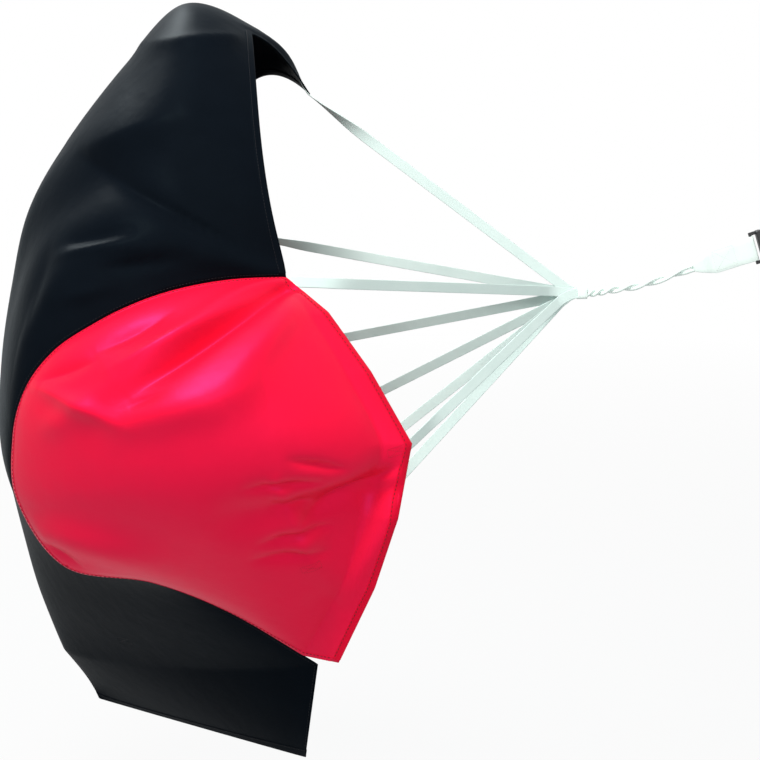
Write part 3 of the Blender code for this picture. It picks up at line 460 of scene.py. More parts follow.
def through(table, station):
    """A smooth curve, but for the angle where the loose flap's near edge starts."""
    last = len(table) - 1
    i = min(int(station), last - 1)
    t = station - i
    p0, p1, p2, p3 = (Vector(table[min(max(k, 0), last)]) for k in (i - 1, i, i + 1, i + 2))
    if table is STRIP_NEAR_SHARES:
        if i == SEAM_STATION_SHARES[-1]:
            p0 = 2 * p1 - p2
        if i + 1 == SEAM_STATION_SHARES[-1]:
            p3 = 2 * p2 - p1
    return 0.5 * (2 * p1 + (p2 - p0) * t + (2 * p0 - 5 * p1 + 4 * p2 - p3) * t * t
                  + (3 * p1 - p0 - 3 * p2 + p3) * t ** 3)


def between(table, share):
    station = share * (len(table) - 1)
    i = min(int(station), len(table) - 2)
    return Vector(table[i]).lerp(Vector(table[i + 1]), station - i)


def along_curve(table, share):
    return through(table, share * (len(table) - 1))


def fold_height(a, b, folds):
    total = 0.0
    for start, end, width, height in folds:
        along = Vector(end) - Vector(start)
        t = (Vector((a, b)) - Vector(start)).dot(along) / along.length_squared
        near = Vector(start) + along * clamp(t)
        gap = (Vector((a, b)) - near).length / (width * (0.35 + 0.65 * clamp(t)))
        fade = math.sin(math.pi * clamp(0.12 + 0.76 * t))
        total += height * CANOPY_SPAN * fade * math.exp(-gap * gap)
    return total


def crease_height(place, creases):
    """Sum of the creases at a place of the photograph, in metres.

    A crease runs from one pixel place to another: half width at both ends, height, and
    how sharp its crest is.
    """
    total = 0.0
    for (x0, y0), (x1, y1), start_width, end_width, height, crest in creases:
        along_x, along_y = x1 - x0, y1 - y0
        length = math.hypot(along_x, along_y)
        t = ((place[0] - x0) * along_x + (place[1] - y0) * along_y) / (length * length)
        held = clamp(t)
        away = ((place[0] - x0) * along_y - (place[1] - y0) * along_x) / length
        width = start_width + (end_width - start_width) * held
        gap = abs(away) / width
        past = abs(t - held) * length / width
        if gap > 4 or past > 3:  # too far off to be seen
            continue
        end = math.sin(math.pi * (0.08 + 0.84 * held))
        total += height * end * math.exp(-gap ** crest - past * past)
    return total


def strip_point(u, v):
    rise = min(abs(v) / BEAK_SHARES[0 if v < 0 else 1], 1.0)
    start = SCALLOP_SHARE * rise * (1 - abs(v) ** 3)
    station = (start + (1 - start) * u) * (len(STRIP_NEAR_SHARES) - 1)
    near, far, ridge = (canopy_place(through(table, station))
                        for table in (STRIP_NEAR_SHARES, STRIP_FAR_SHARES, STRIP_RIDGE_SHARES))
    middle = (near + far) / 2
    turn = v * math.pi / 2
    return middle + (ridge - middle) * math.cos(turn) + (far - near) / 2 * math.sin(turn)


HEM_ANGLE_SHARE = 0.10  # of a panel, where the angles of its hem fade out
CORNER_SLOPE = 18  # how soon the strip's edge leaves a panel's lower corner
SWELL_POWER = 0.75


def panel_point(seam_table, hem_table, hem_line, side, s, t):
    top, back, bottom = SEAM_STATION_SHARES

    def hem(share):
        return canopy_place(hem_line(hem_table, share))

    def on_seam(station):
        return canopy_place(through(seam_table, station))

    corner = hem(1) - on_seam(bottom)
    bottom_seam = on_seam(bottom + (back - bottom) * s) + corner * max(0.0, 1 - CORNER_SLOPE * s)
    back_seam = on_seam(top + (back - top) * t)
    mouth = hem(t).lerp(canopy_place(along_curve(hem_table, t)),
                        smooth_step(s, 0.0, HEM_ANGLE_SHARE))
    point = (1 - s) * mouth + s * back_seam
    point += (1 - t) * on_seam(top * s) + t * bottom_seam
    point -= (1 - s) * ((1 - t) * hem(0) + t * hem(1))
    point -= s * ((1 - t) * on_seam(top) + t * on_seam(back))
    swell = max(math.sin(math.pi * s) * math.sin(math.pi * t), 0.0) ** SWELL_POWER
    return point + at(0, side * BULGE_SHARE * CANOPY_SPAN * swell)


FAR_CREASE_SHARE = 0.8  # of the near side's height


def cloth_rows(place_of, count, low, side, folds, creases, rim):
    """A cloth's places, moved along its normals by broad folds and the photograph's creases.

    count holds its rows and columns; low is where its two shares start, and both end at 1; side
    turns the normals outward; rim is how many rows and columns fade in from each edge.
    """
    last_row, last_column = count
    shares = [[(low[0] + (1 - low[0]) * i / last_row, low[1] + (1 - low[1]) * j / last_column)
               for j in range(last_column + 1)] for i in range(last_row + 1)]
    plain = [[place_of(*share) for share in line] for line in shares]
    alongs = zip(*(ways_along(column) for column in zip(*plain)))
    out = []
    for i, (row, down) in enumerate(zip(plain, alongs)):
        line = []
        for j, (point, along, across) in enumerate(zip(row, down, ways_along(row))):
            normal = across.cross(along).normalized() * side
            edge = min(i, last_row - i, j, last_column - j) / rim
            # the far side takes the near side's creases, mirrored
            height = crease_height(seen_at(at(point.x, -abs(point.y), point.z)), creases)
            if point.y > 0:
                height *= FAR_CREASE_SHARE
            lift = fold_height(*shares[i][j], folds) + height * smooth_step(edge)
            line.append(point + normal * (lift * min(edge * 3, 1.0)))
        out.append(line)
    return out


CORNER_CREASES = (
    # pulled by the strap at the mouth's lower corner
    ((412, 460), (298, 530), 7, 11, -0.016, 1.2),
    ((402, 482), (308, 556), 22, 30, -0.013, 1.8),
    ((404, 524), (338, 604), 22, 26, 0.010, 2.0),
)
NEAR_CREASES = CORNER_CREASES + (
    # fan from the mouth's top corner: ridge, deep fold, and the broad lit swelling below it
    ((285, 281), (112, 368), 6, 12, 0.013, 1.4),
    ((286, 287), (128, 396), 6, 13, -0.018, 1.3),
    ((300, 300), (215, 398), 14, 26, 0.013, 1.8),
    ((262, 384), (122, 424), 26, 18, 0.014, 1.8),
    # kinks of the left billow
    ((168, 314), (96, 352), 7, 9, -0.010, 1.3),
    ((92, 362), (44, 380), 7, 6, -0.007, 1.3),
    ((40, 388), (126, 426), 8, 11, 0.009, 1.6),
    ((126, 408), (160, 394), 6, 5, -0.006, 1.4),
    # small wrinkles in the middle, each a dent
    ((292, 461), (346, 470), 5, 4, -0.0085, 1.2),
    ((248, 490), (322, 484), 6, 4, -0.0110, 1.2),
    ((274, 510), (314, 507), 5, 4, -0.0085, 1.2),
    ((262, 546), (334, 531), 6, 4, -0.0120, 1.2),
    ((254, 561), (328, 554), 5, 4, -0.0090, 1.2),
    # billow's underside
    ((36, 530), (170, 566), 14, 18, 0.010, 2.0),
    ((43, 541), (80, 565), 5, 5, -0.006, 1.3),
)
STRIP_CREASES = (
    # the dark facet between two long creases
    ((84, 152), (178, 116), 12, 20, 0.013, 1.2),
    ((86, 159), (278, 273), 15, 6, -0.020, 1.1),
    # crest below the canopy's top, and the beak's fullness
    ((146, 45), (254, 38), 12, 9, 0.011, 1.1),
    ((262, 34), (306, 78), 14, 14, 0.008, 1.8),
    # kinks above the red side's back
    ((66, 244), (140, 229), 9, 7, -0.010, 1.2),
    ((62, 256), (138, 243), 6, 6, 0.008, 1.2),
    ((104, 270), (196, 257), 8, 6, -0.010, 1.2),
    ((60, 300), (120, 286), 9, 9, 0.005, 1.5),
    ((28, 330), (50, 240), 9, 12, -0.005, 1.5),
)

strip = cloth_rows(strip_point, (300, 130), (0, -1), 1, STRIP_FOLD_SHARES, STRIP_CREASES, 9)
near_side = cloth_rows(
    lambda s, t: panel_point(STRIP_NEAR_SHARES, HEM_NEAR_SHARES, between, -1, s, t),
    (160, 160), (0, 0), -1, NEAR_FOLD_SHARES, NEAR_CREASES, 7)
far_side = cloth_rows(
    lambda s, t: panel_point(STRIP_FAR_SHARES, HEM_FAR_SHARES, along_curve, 1, s, t),
    (120, 120), (0, 0), 1, FAR_FOLD_SHARES, NEAR_CREASES[6:], 6)

CLOTH = 0.0005
black_canopy = laid("canopy_black", strip, BLACK_CLOTH, "black_strip", thickness=CLOTH)
near_canopy = laid("canopy_red_near", near_side, RED_CLOTH, "red_side_near", thickness=CLOTH)
far_canopy = laid("canopy_red_far", far_side, RED_CLOTH, "red_side_far", thickness=CLOTH)

HOLLOW = canopy_place((-0.50, 0.0, -0.05))  # a place in the air inside the canopy
TREES, INWARD = {}, {}
for cloth, rows in (("strip", strip), ("near", near_side), ("far", far_side)):
    guide = sheet_mesh("guide", rows)
    TREES[cloth] = BVHTree.FromPolygons([v.co for v in guide.vertices],
                                        [p.vertices for p in guide.polygons])
    bpy.data.meshes.remove(guide)
    spot, normal, _, _ = TREES[cloth].find_nearest(rows[len(rows) // 2][len(rows[0]) // 2])
    INWARD[cloth] = 1 if normal.dot(HOLLOW - spot) > 0 else -1


def seat(cloth, point, height=0.0):
    """The nearest place on the cloth, raised inward, or outward by a height below zero."""
    spot, normal, _, _ = TREES[cloth].find_nearest(point)
    inward = normal * INWARD[cloth]
    return spot + inward * height, inward


# Hems: the cloth's edge folded over, as a flat loop round the rim

HEM_PROFILE = ((1.0, 0.45), (0.94, 1.0), (0.80, 0.86), (0.5, 0.95), (0.22, 0.88), (0.06, 1.0),
               (-0.03, 0.6), (-0.05, 0.0), (-0.03, -0.6), (0.06, -1.0), (0.5, -0.9),
               (0.94, -1.0), (1.0, -0.45))  # across and off the cloth, as shares
HEM_REACH = CLOTH / 2 + 0.0007
SEAM_WIDTH = 0.008
LIFT = 0.0001  # of thread off what it is sewn to


def hem(name, cloth, edge, inner, made_of, *nodes, width=HEM_WIDTH):
    """edge and inner are matching lines of places: the cloth's rim and a line further in."""
    rows = []
    for rim_spot, inner_spot in zip(edge, inner):
        inward = (inner_spot - rim_spot).normalized()
        out = -seat(cloth, rim_spot + inward * width / 2)[1]
        profile = []
        for share, rise in HEM_PROFILE:
            held = rim_spot + inward * width * share
            if share > 0:
                held = seat(cloth, held)[0]
            profile.append(held + out * HEM_REACH * rise)
        rows.append(profile)
    return laid(name, rows, made_of, *nodes)


STITCH_ENDS = (0.12, 0.88)  # shares of the pitch
STITCH_RINGS = (0.25, 0.75)  # shares of the stitch
STITCH_SIDES = 5


def stitches(name, runs, made_of, pitch=0.0036, radius=0.00024):
    """Short stitches, pointed where they enter the cloth, along runs of (place, outward)."""
    points, faces = [], []
    for run in runs:
        reach = distances([spot for spot, _ in run])
        step = 0
        for k in range(max(int(reach[-1] / pitch), 1)):
            ends = []
            for share in STITCH_ENDS:
                wanted = (k + share) * pitch
                while step < len(run) - 2 and reach[step + 1] < wanted:
                    step += 1
                span = max(reach[step + 1] - reach[step], radius)
                ends.append(run[step][0].lerp(run[step + 1][0], (wanted - reach[step]) / span))
            out = run[step][1]
            low, high = ends
            ring = spokes((high - low).normalized().cross(out), out, STITCH_SIDES)
            first = len(points) + 1
            second, last = first + STITCH_SIDES, first + 2 * STITCH_SIDES
            points.append(low - out * radius)
            points += [low.lerp(high, share) + radius * way for share in STITCH_RINGS
                       for way in ring]
            points.append(high - out * radius)
            for m in range(STITCH_SIDES):
                n = (m + 1) % STITCH_SIDES
                faces += [(first - 1, first + n, first + m),
                          (first + m, first + n, second + n, second + m),
                          (second + m, second + n, last)]
    return piece(name, mesh_of(name, points, faces), *made_of)


def straight_run(middle, step, steps, outward):
    """A run for stitches, so many steps to each side of its middle."""
    return [(middle + step * k, outward) for k in range(-steps, steps + 1)]


def line_on(cloth, edge, inner, distance, height, face=-1):
    """A run for stitches at a distance from a cloth's rim; its inner face is 1."""
    run = []
    for rim_spot, inner_spot in zip(edge, inner):
        place = rim_spot + (inner_spot - rim_spot).normalized() * distance
        spot, inward = seat(cloth, place, height * face)
        run.append((spot, inward * face))
    return run


def outline_of(rows, depth):
    """A side panel's sewn rim, from the mouth's top round the back to its bottom corner."""
    last = len(rows) - 1
    path = [(i, 0) for i in range(2, last)]
    path += [(last, j) for j in range(last)]
    path += [(i, last) for i in range(last, 1, -1)]
    edge = [rows[i][j] for i, j in path]
    inner = [rows[min(i, last - depth)][min(max(j, depth), last - depth)] for i, j in path]
    return edge, inner


near_rim = (near_side[0][1:-1], near_side[9][1:-1])
far_rim = (far_side[0][1:-1], far_side[7][1:-1])
top_rim = (strip[0][1:-1], strip[9][1:-1])
flap_rim = (strip[-1][1:-1], strip[-10][1:-1])
near_seam = outline_of(near_side, 5)
far_seam = outline_of(far_side, 4)
# the mouth hems take the red with painted shade along their turned edge
HEM_RED_PAINTED_SHADE = (RED_HEM_PAINTED_SHADE, "chute", "red_cloth")
mouth_hem_near = hem("mouth_hem_near", "near", *near_rim, HEM_RED_PAINTED_SHADE, "hem_near")
mouth_hem_far = hem("mouth_hem_far", "far", *far_rim, HEM_RED_PAINTED_SHADE, "hem_far")
mouth_hem_top = hem("mouth_hem_top", "strip", *top_rim, BLACK_CLOTH, "hem_top")
flap_hem = hem("flap_hem", "strip", *flap_rim, BLACK_CLOTH, "hem_bottom")
seam_near = hem("felled_seam_near", "near", *near_seam, RED_CLOTH, width=SEAM_WIDTH)
seam_far = hem("felled_seam_far", "far", *far_seam, RED_CLOTH, width=SEAM_WIDTH)

HEM_SEWN = 0.82 * HEM_WIDTH
SEAM_SEWN = 0.75 * SEAM_WIDTH
red_runs, black_runs = [], []
for face in (-1, 1):
    for cloth, mouth, seam in (("near", near_rim, near_seam), ("far", far_rim, far_seam)):
        red_runs.append(line_on(cloth, *mouth, HEM_SEWN, HEM_REACH + LIFT, face))
        red_runs.append(line_on(cloth, *seam, SEAM_SEWN, HEM_REACH + LIFT, face))
    for rim in (top_rim, flap_rim):
        black_runs.append(line_on("strip", *rim, HEM_SEWN, HEM_REACH + LIFT, face))
for column, inner_column in ((0, 5), (-1, -6)):
    edge, inner = ([row[k] for row in strip[4:-4]] for k in (column, inner_column))
    black_runs.append(line_on("strip", edge, inner, 0.005, CLOTH / 2 + LIFT))
red_stitches = stitches("red_panel_stitches", red_runs, (DARK_THREAD, "chute", "red_cloth"),
                        pitch=0.0060, radius=0.00045)
black_stitches = stitches("black_strip_stitches", black_runs,
                          (BLACK_THREAD, "chute", "black_cloth"), pitch=0.0045)


# Straps

LAP_GAP = 0.0010  # between strap and cloth
LAP_STEPS = 10
FREE_STEPS = 40
EDGE_SHARE = 0.12  # of the strap's half width, at each side
TWIST_SHARES = ((0.76, 0.90), (0.70, 1.0))  # of the free run; the last is the beak's


def off_cloth(cloth, point, height):
    """The point itself, or moved inward until it lies at least height off the cloth."""
    spot, inward = seat(cloth, point)
    return point + inward * max(height - (point - spot).dot(inward), 0.0)


def lap_rows(cloth, place_near):
    """The end of a strap, laid on the cloth's inner face and leading away from the knot."""
    height = CLOTH / 2 + STRAP_THICK / 2 + LAP_GAP
    start, inward = seat(cloth, place_near, height)
    away = start - KNOT
    away = (away - inward * away.dot(inward)).normalized()
    rows = []
    for k in range(LAP_STEPS + 1):
        middle = start + away * STRAP_LAP * k / LAP_STEPS
        seated, inward = seat(cloth, middle, height)
        half = inward.cross(away).normalized() * STRAP_WIDTH / 2
        rows.append([off_cloth(cloth, spot, height)
                     for spot in (seated - half, seated, seated + half)])
    return rows


def strap_rows(lap, depth, stack_half, turned_over, twist_shares):
    """The stack, the flat fan, the free run with its twist, and the lap."""
    first = lap[0]
    run = first[1] - KNOT
    flat = at(run.x, 0, run.z).normalized()
    back = at(-1)
    knot = KNOT + at(0, depth)
    spots = [knot - back * STACK_END, knot - back * STRAP_WIDTH * 0.4]
    ways = [back, back]
    fan_length = FAN_LENGTH * (1.5 - 0.75 * abs(depth) / stack_half)
    for share in (0.3, 0.65, 1.0):
        spots.append(knot + flat * fan_length * share)
        ways.append(flat if share > 0.5 else (back + 2 * flat).normalized())
    fan = [(spot, at(-way.z, 0, way.x) * STRAP_WIDTH / 2)
           for spot, way in zip(spots, ways)]
    start, half = fan[-1]
    last_half = (first[2] - first[0]) / 2
    if (last_half.dot(half) < 0) != turned_over:
        lap = [row[::-1] for row in lap]
        last_half = -last_half
    axis = (first[1] - start).normalized()
    flat_half = (last_half - axis * last_half.dot(axis)).normalized()
    lead = (half - axis * half.dot(axis)).normalized()
    twist = math.atan2(axis.dot(lead.cross(flat_half)), lead.dot(flat_half))
    free = []
    for k in range(1, FREE_STEPS):
        share = k / FREE_STEPS
        turned = Matrix.Rotation(twist * smooth_step(share, *twist_shares), 3, axis) @ lead
        free.append((start.lerp(first[1], share), turned * STRAP_WIDTH / 2))
    return [[spot - side, spot, spot + side] for spot, side in fan + free] + lap


BOX_SHARE = 0.8  # of the tape's half width


def box_runs(rows):
    """A sewn box with a cross in it, over rows of (middle, half width, outward)."""
    inner = rows[1:-1]
    count = len(inner) - 1
    sides = (-BOX_SHARE, BOX_SHARE)
    runs = [[(spot + half * side, out) for spot, half, out in inner] for side in sides]
    runs += [[(spot + half * side * (1 - 2 * k / count), out)
              for k, (spot, half, out) in enumerate(inner)] for side in sides]
    runs += [[(spot + half * BOX_SHARE * (k / 2 - 1), out) for k in range(5)]
             for spot, half, out in (inner[0], inner[-1])]
    return runs


laps = {node: (cloth, lap_rows(cloth, canopy_place(shares)))
        for node, cloth, shares in STRAP_END_SHARES}
leads = {node: lap[0][1] - KNOT for node, (_, lap) in laps.items()}
order = sorted(laps, key=lambda node: leads[node].y / leads[node].length)
stack_half = len(order) * STACK_PITCH / 2
lap_runs, through_red, through_black = [], [], []
for k, node in enumerate(order):
    cloth, lap = laps[node]
    # the photograph shows the underside of the strap on the beak
    on_beak = node == "strap_top_middle"
    rows = strap_rows(lap, (k + 0.5) * STACK_PITCH - stack_half, stack_half, on_beak,
                      TWIST_SHARES[on_beak])
    tape = [[low, low.lerp(middle, EDGE_SHARE), middle, middle.lerp(high, 1 - EDGE_SHARE), high]
            for low, middle, high in rows]
    # the straps' tape carries painted shade in its darker white
    strap = laid(node.replace("strap", "tape"), tape, (TAPE_WEAVE_PAINTED_SHADE, "chute", "white_tape"), node,
                 thickness=STRAP_THICK)
    path = [row[1] for row in rows]
    inner_rows = []
    for low, middle, high in lap:
        inward = seat(cloth, middle)[1]
        inner_rows.append((middle + inward * (STRAP_THICK / 2 + LIFT), (high - low) / 2, inward))
    for run in box_runs(inner_rows):
        lap_runs.append(run)
        (through_black if cloth == "strip" else through_red).append(
            [(seat(cloth, spot, -CLOTH / 2 - LIFT)[0], -inward) for spot, inward in run])
stitches("lap_stitches", lap_runs, WHITE_SEWING, pitch=0.003)
stitches("lap_stitches_through_red", through_red, (RED_THREAD, "chute", "red_cloth"),
         pitch=0.003)
stitches("lap_stitches_through_black", through_black, (BLACK_THREAD, "chute", "black_cloth"),
         pitch=0.003)


# Tow line

LINE_STEPS = 180
WOUND_FROM = 0.10  # share of the line, where the strands start to wind
WOUND_TO = 0.76
STRAND_APART = STRAND_RADIUS * 1.04 + CLEARANCE

line_start = KNOT + at(STACK_END + CLEARANCE + STRAND_RADIUS * 0.1)
line_spots = [line_start, line_start + at(STRAP_WIDTH)]
line_spots += [canopy_place((x, 0, z)) for x, z in TOW_PATH_SHARES]
line_spots += [TOW_FRAME @ at(x) for x in (TAB_END_X, TAB_END_X + TAB_TAPER * 0.7)]
line = [along_curve(line_spots, i / LINE_STEPS) for i in range(LINE_STEPS + 1)]
for letter, phase in (("a", 0.0), ("b", math.pi)):
    path = []
    for i, (spot, along) in enumerate(zip(line, ways_along(line))):
        rise = at(-along.z, 0, along.x).normalized()
        wound = clamp((i / LINE_STEPS - WOUND_FROM) / (WOUND_TO - WOUND_FROM))
        turn = phase + 2 * math.pi * STRAND_TURNS * wound
        offset = rise * math.cos(turn) + at(0, 1) * math.sin(turn)
        path.append(spot + offset * STRAND_APART)
    strand = laid("twisted_strand_" + letter, tube_rows(path, STRAND_RADIUS, 12), WHITE_TAPE,
                  "tow_strand_" + letter, round_rows=True, caps=2)


# Webbing with round selvages

SELVAGE_RISE = 0.55  # of half the thickness


def arc(centre, radius, start, end, steps):
    """Places of an arc in the XY plane, its angles in degrees."""
    return [at(*centre) + radius * at(math.cos(turn), math.sin(turn))
            for turn in map(math.radians, steps_between(start, end, steps))]


def band(name, path, sides, thickness, made_of, *nodes, ring=False):
    """Webbing along a path; sides is its half width, or holds one for each place."""
    if isinstance(sides, Vector):
        sides = [sides] * len(path)
    rows = []
    for spot, side, along in zip(path, sides, ways_along(path, ring)):
        out = along.cross(side).normalized() * thickness / 2
        edge = 1 - thickness / 2 / side.length
        half = [side * across + out * rise for across, rise in (
            (-1, 0), (-1, SELVAGE_RISE), (-edge, 1), (-0.5, 1), (0, 1), (0.5, 1), (edge, 1),
            (1, SELVAGE_RISE))]
        rows.append([spot + way for way in half] + [spot - way for way in half])
    return laid(name, rows, made_of, *nodes, round_rows=True, caps=0 if ring else 2, ring=ring)


def steps_between(low, high, steps):
    return [low + (high - low) * k / steps for k in range(steps + 1)]


# Knot collar
COLLAR_MIDDLE = KNOT + at(STACK_END)
COLLAR_THICK = 0.0012
COLLAR_POWER = 5  # how square its ring is
collar_y = stack_half + 2 * CLEARANCE + COLLAR_THICK / 2
collar_z = STRAP_WIDTH / 2 + CLEARANCE + COLLAR_THICK / 2
collar = []
for way in spokes(at(0, 1), at(0, 0, 1), 28):
    rounding = (abs(way.y) ** COLLAR_POWER + abs(way.z) ** COLLAR_POWER) ** (-1 / COLLAR_POWER)
    collar.append(COLLAR_MIDDLE + rounding * at(0, collar_y * way.y, collar_z * way.z))
band("collar_tape", collar, at(STACK_END / 2), COLLAR_THICK, WHITE_TAPE, "knot_collar",
     ring=True)
collar_runs = []
for sign in (-1, 1):
    outward = at(0, sign)
    for share in (-0.36, 0.36):
        face = COLLAR_MIDDLE + outward * (collar_y + COLLAR_THICK / 2)
        face.x += share * STACK_END
        collar_runs.append(straight_run(face, at(0, 0, 0.0016), 4, outward))
stitches("collar_stitches", collar_runs, WHITE_SEWING, pitch=0.002)


# Tow tab and release loop, in the tow frame
BAR_REACH = math.hypot(0.004, 0.003) / 2
LOOP_RADIUS = BAR_REACH + CLEARANCE + WEBBING_THICK / 2
PIN_RADIUS = 0.0025
PIN_LOOP_RADIUS = PIN_RADIUS + CLEARANCE + WEBBING_THICK / 2
RELEASE_LOOP = 0.027
LOOP_WAIST = 0.0015
LOOP_SEWN = (0.38, 0.5, 0.62)
TAB_POINT = 0.0055  # half width where the tow line enters
TAB_SHOULDER = 0.034  # from the tab's end to its full width
TAB_SEWN = (0.030, 0.072)  # from the tab's end, where its two layers lie together
TAB_OPENS = (0.014, 0.016)  # before and past there
TAB_STEPS = 24
WEBBING_HALF = WEBBING_WIDTH / 2


def in_tow_frame(points):
    return [TOW_FRAME @ point for point in points]


def tow_way(y, z):
    return TOW_FRAME.to_3x3() @ at(0, y, z)


def mirrored(points):
    """The same places on the other side, on the way back."""
    return [at(point.x, -point.y) for point in reversed(points)]


def loop_place(share, lift=0.0):
    """A place of the release loop between its pin and its bar, where it is slightly waisted."""
    height = PIN_LOOP_RADIUS - LOOP_WAIST * math.sin(math.pi * share) + lift
    return at(-RELEASE_LOOP * share, height)


leg, leg_halves = [], []
for k in range(TAB_STEPS):
    reach = (TAB_BAR_X - TAB_END_X) * k / TAB_STEPS
    sewn = smooth_step(reach, TAB_SEWN[0] - TAB_OPENS[0], TAB_SEWN[0])
    sewn *= 1 - smooth_step(reach, TAB_SEWN[1], TAB_SEWN[1] + TAB_OPENS[1])
    spread = CLEARANCE + WEBBING_THICK / 2 + STRAND_RADIUS * (1 - sewn)
    leg.append(at(TAB_END_X + reach, -spread))
    shoulder = min(reach / TAB_SHOULDER, 1.0) ** 0.9
    leg_halves.append(tow_way(0, TAB_POINT + (WEBBING_HALF - TAB_POINT) * shoulder))
turned = arc((TAB_BAR_X, 0), LOOP_RADIUS, -80, 80, 12)
tab = leg + turned + mirrored(leg)
halves = leg_halves + [tow_way(0, WEBBING_HALF)] * len(turned) + leg_halves[::-1]
band("webbing_tab", in_tow_frame(tab), halves, WEBBING_THICK, WHITE_TAPE, "tow_tab")
tab_runs = []
for sign in (-1, 1):
    outward = tow_way(sign, 0)
    face = sign * (WEBBING_THICK * 1.08 + CLEARANCE)
    sewn = [at(TAB_END_X + reach, face) for reach in steps_between(*TAB_SEWN, 10)]
    tab_runs += box_runs([(spot, tow_way(0, WEBBING_HALF), outward)
                          for spot in in_tow_frame(sewn)])
stitches("tab_stitches", tab_runs, WHITE_SEWING, pitch=0.003)

waist = [loop_place(share) for share in (0.15, 0.35, 0.5, 0.65, 0.85)]
loop = arc((0, 0), PIN_LOOP_RADIUS, -75, 75, 10) + waist
loop += arc((-RELEASE_LOOP, 0), LOOP_RADIUS, 105, 255, 10) + mirrored(waist)
band("swivel_loop", in_tow_frame(loop), tow_way(0, WEBBING_HALF), WEBBING_THICK,
     (BLACK_WEAVE, "release", "black_webbing"), "release_loop", ring=True)
loop_runs = []
for sign in (-1, 1):
    for share in LOOP_SEWN:
        spot = loop_place(share, WEBBING_THICK * 0.52)
        loop_runs.append(straight_run(TOW_FRAME @ at(spot.x, sign * spot.y), tow_way(0, 0.002), 8,
                                      tow_way(sign, 0)))
stitches("loop_stitches", loop_runs, (BLACK_THREAD, "release", "black_webbing"), pitch=0.0025)


# Waist belt, seen from above, as in the frame
BELT_THICK = 0.0018
BELT_LAYER = BELT_THICK + CLEARANCE
BELT_TAIL = 0.022
BELT_CORNER = 0.060
WAIST_WIDTH = 0.310
WAIST_DEPTH = 0.220
PAD_WIDTH_SHARE = 0.947
PAD_THICK = 0.0096
PAD_WIDTH = PAD_WIDTH_SHARE * (WAIST_WIDTH - 2 * BELT_CORNER)
PAD_HEIGHT = 0.084
PAD_CORNER = 0.020
BELT_X = -(PAD_THICK + CLEARANCE + BELT_THICK / 2)
BELT_FRONT = BELT_X + WAIST_DEPTH
BAR_RADIUS = BAR_REACH + CLEARANCE + BELT_THICK / 2
BAR_X = BELT_FRONT + BAR_RADIUS
LAP_X = BELT_FRONT + BELT_LAYER
TAIL_X = LAP_X + BELT_LAYER
OUTER_X = BELT_FRONT + 2 * BAR_RADIUS
SOCKET_BAR_Y = 0.043
PLUG_BAR_Y = -0.014
PLUG_TRAVEL = 0.026
SIDE_FOLD = 0.011
STRAP_LAID_Y = PLUG_BAR_Y - 2 * SIDE_FOLD
BELT_END_Y = STRAP_LAID_Y - PLUG_TRAVEL - BELT_THICK
SLIDER_WIDTH = 0.016
BELT_SIDE = at(0, 0, WEBBING_HALF)
back_x, front_x = BELT_X + BELT_CORNER, BELT_FRONT - BELT_CORNER
corner_y = WAIST_WIDTH / 2 - BELT_CORNER

fold_y = SOCKET_BAR_Y + 2 * SIDE_FOLD
belt_lap = [at(LAP_X, y) for y in steps_between(fold_y + BELT_TAIL, fold_y, 6)]
belt = belt_lap + [at((LAP_X + OUTER_X) / 2, fold_y - SIDE_FOLD / 2),
                   at(OUTER_X, SOCKET_BAR_Y + SIDE_FOLD / 3)]
belt += arc((BAR_X, SOCKET_BAR_Y), BAR_RADIUS, 0, -180, 14)
for centre, start in (((front_x, corner_y), 0), ((back_x, corner_y), 90),
                      ((back_x, -corner_y), 180), ((front_x, -corner_y), 270)):
    belt += arc(centre, BELT_CORNER, start, start + 90, 24)
belt.append(at(BELT_FRONT, BELT_END_Y))
band("waist_webbing", belt, BELT_SIDE, BELT_THICK, BLACK_WEBBING, "belt_webbing")
outward = at(1)
belt_runs = []
for way, rise in ((outward, BELT_THICK / 2 + LIFT), (-outward, BELT_LAYER * 1.5)):
    belt_runs += box_runs([(spot + way * rise, BELT_SIDE, way) for spot in belt_lap])
stitches("waist_stitches", belt_runs, BLACK_SEWING, pitch=0.003)

strap_end = BELT_END_Y - SLIDER_WIDTH - BELT_TAIL / 2
adjuster = [at(LAP_X, y) for y in steps_between(strap_end, STRAP_LAID_Y, 8)]
adjuster += [at((LAP_X + BELT_FRONT) / 2, STRAP_LAID_Y + SIDE_FOLD / 2),
             at(BELT_FRONT, STRAP_LAID_Y + SIDE_FOLD)]
adjuster += arc((BAR_X, PLUG_BAR_Y), BAR_RADIUS, 180, 0, 14)
adjuster += [at(OUTER_X, STRAP_LAID_Y + SIDE_FOLD),
             at((OUTER_X + TAIL_X) / 2, STRAP_LAID_Y + SIDE_FOLD / 2)]
adjuster += [at(TAIL_X, y) for y in steps_between(STRAP_LAID_Y, strap_end - BELT_TAIL / 2, 10)]
band("adjuster_strap", adjuster, BELT_SIDE, BELT_THICK,
     (BLACK_WEAVE, "front_plug", "black_webbing"), "belt_adjuster")


# Back pad: a foam core in a woven cover, a mesh lining, and a bound edge

LONG_SIDE_STEPS = 70
PAD_CHANNEL_SHARES = (-0.17, 0.17)  # of the pad's width
CHANNEL_REACH = 0.0035  # how far the cloth sinks beside a channel
CHANNEL_DENT = 0.0016
PAD_RINGS = [0.02] + [k / 30 for k in range(1, 31)]
LINING_THICK = 0.0008
# across the edge: how far out from the rim, and x
BINDING_OUTER = ((-0.0060, -0.0087), (-0.0022, -0.0086), (0.0001, -0.0074), (0.0006, -0.0048),
                 (0.0001, -0.0022), (-0.0022, -0.0007), (-0.0060, -0.0006))
BINDING_INNER = ((-0.0060, -0.0016), (-0.0024, -0.0016), (-0.0005, -0.0028), (-0.0003, -0.0048),
                 (-0.0005, -0.0064), (-0.0024, -0.0077), (-0.0060, -0.0078))
BINDING_SEWN = ((-0.0088, -1), (-0.0005, 1))  # x and outward way of its stitches
BINDING_INSET = 0.0046
CHANNEL_SEWN_X = -0.0018


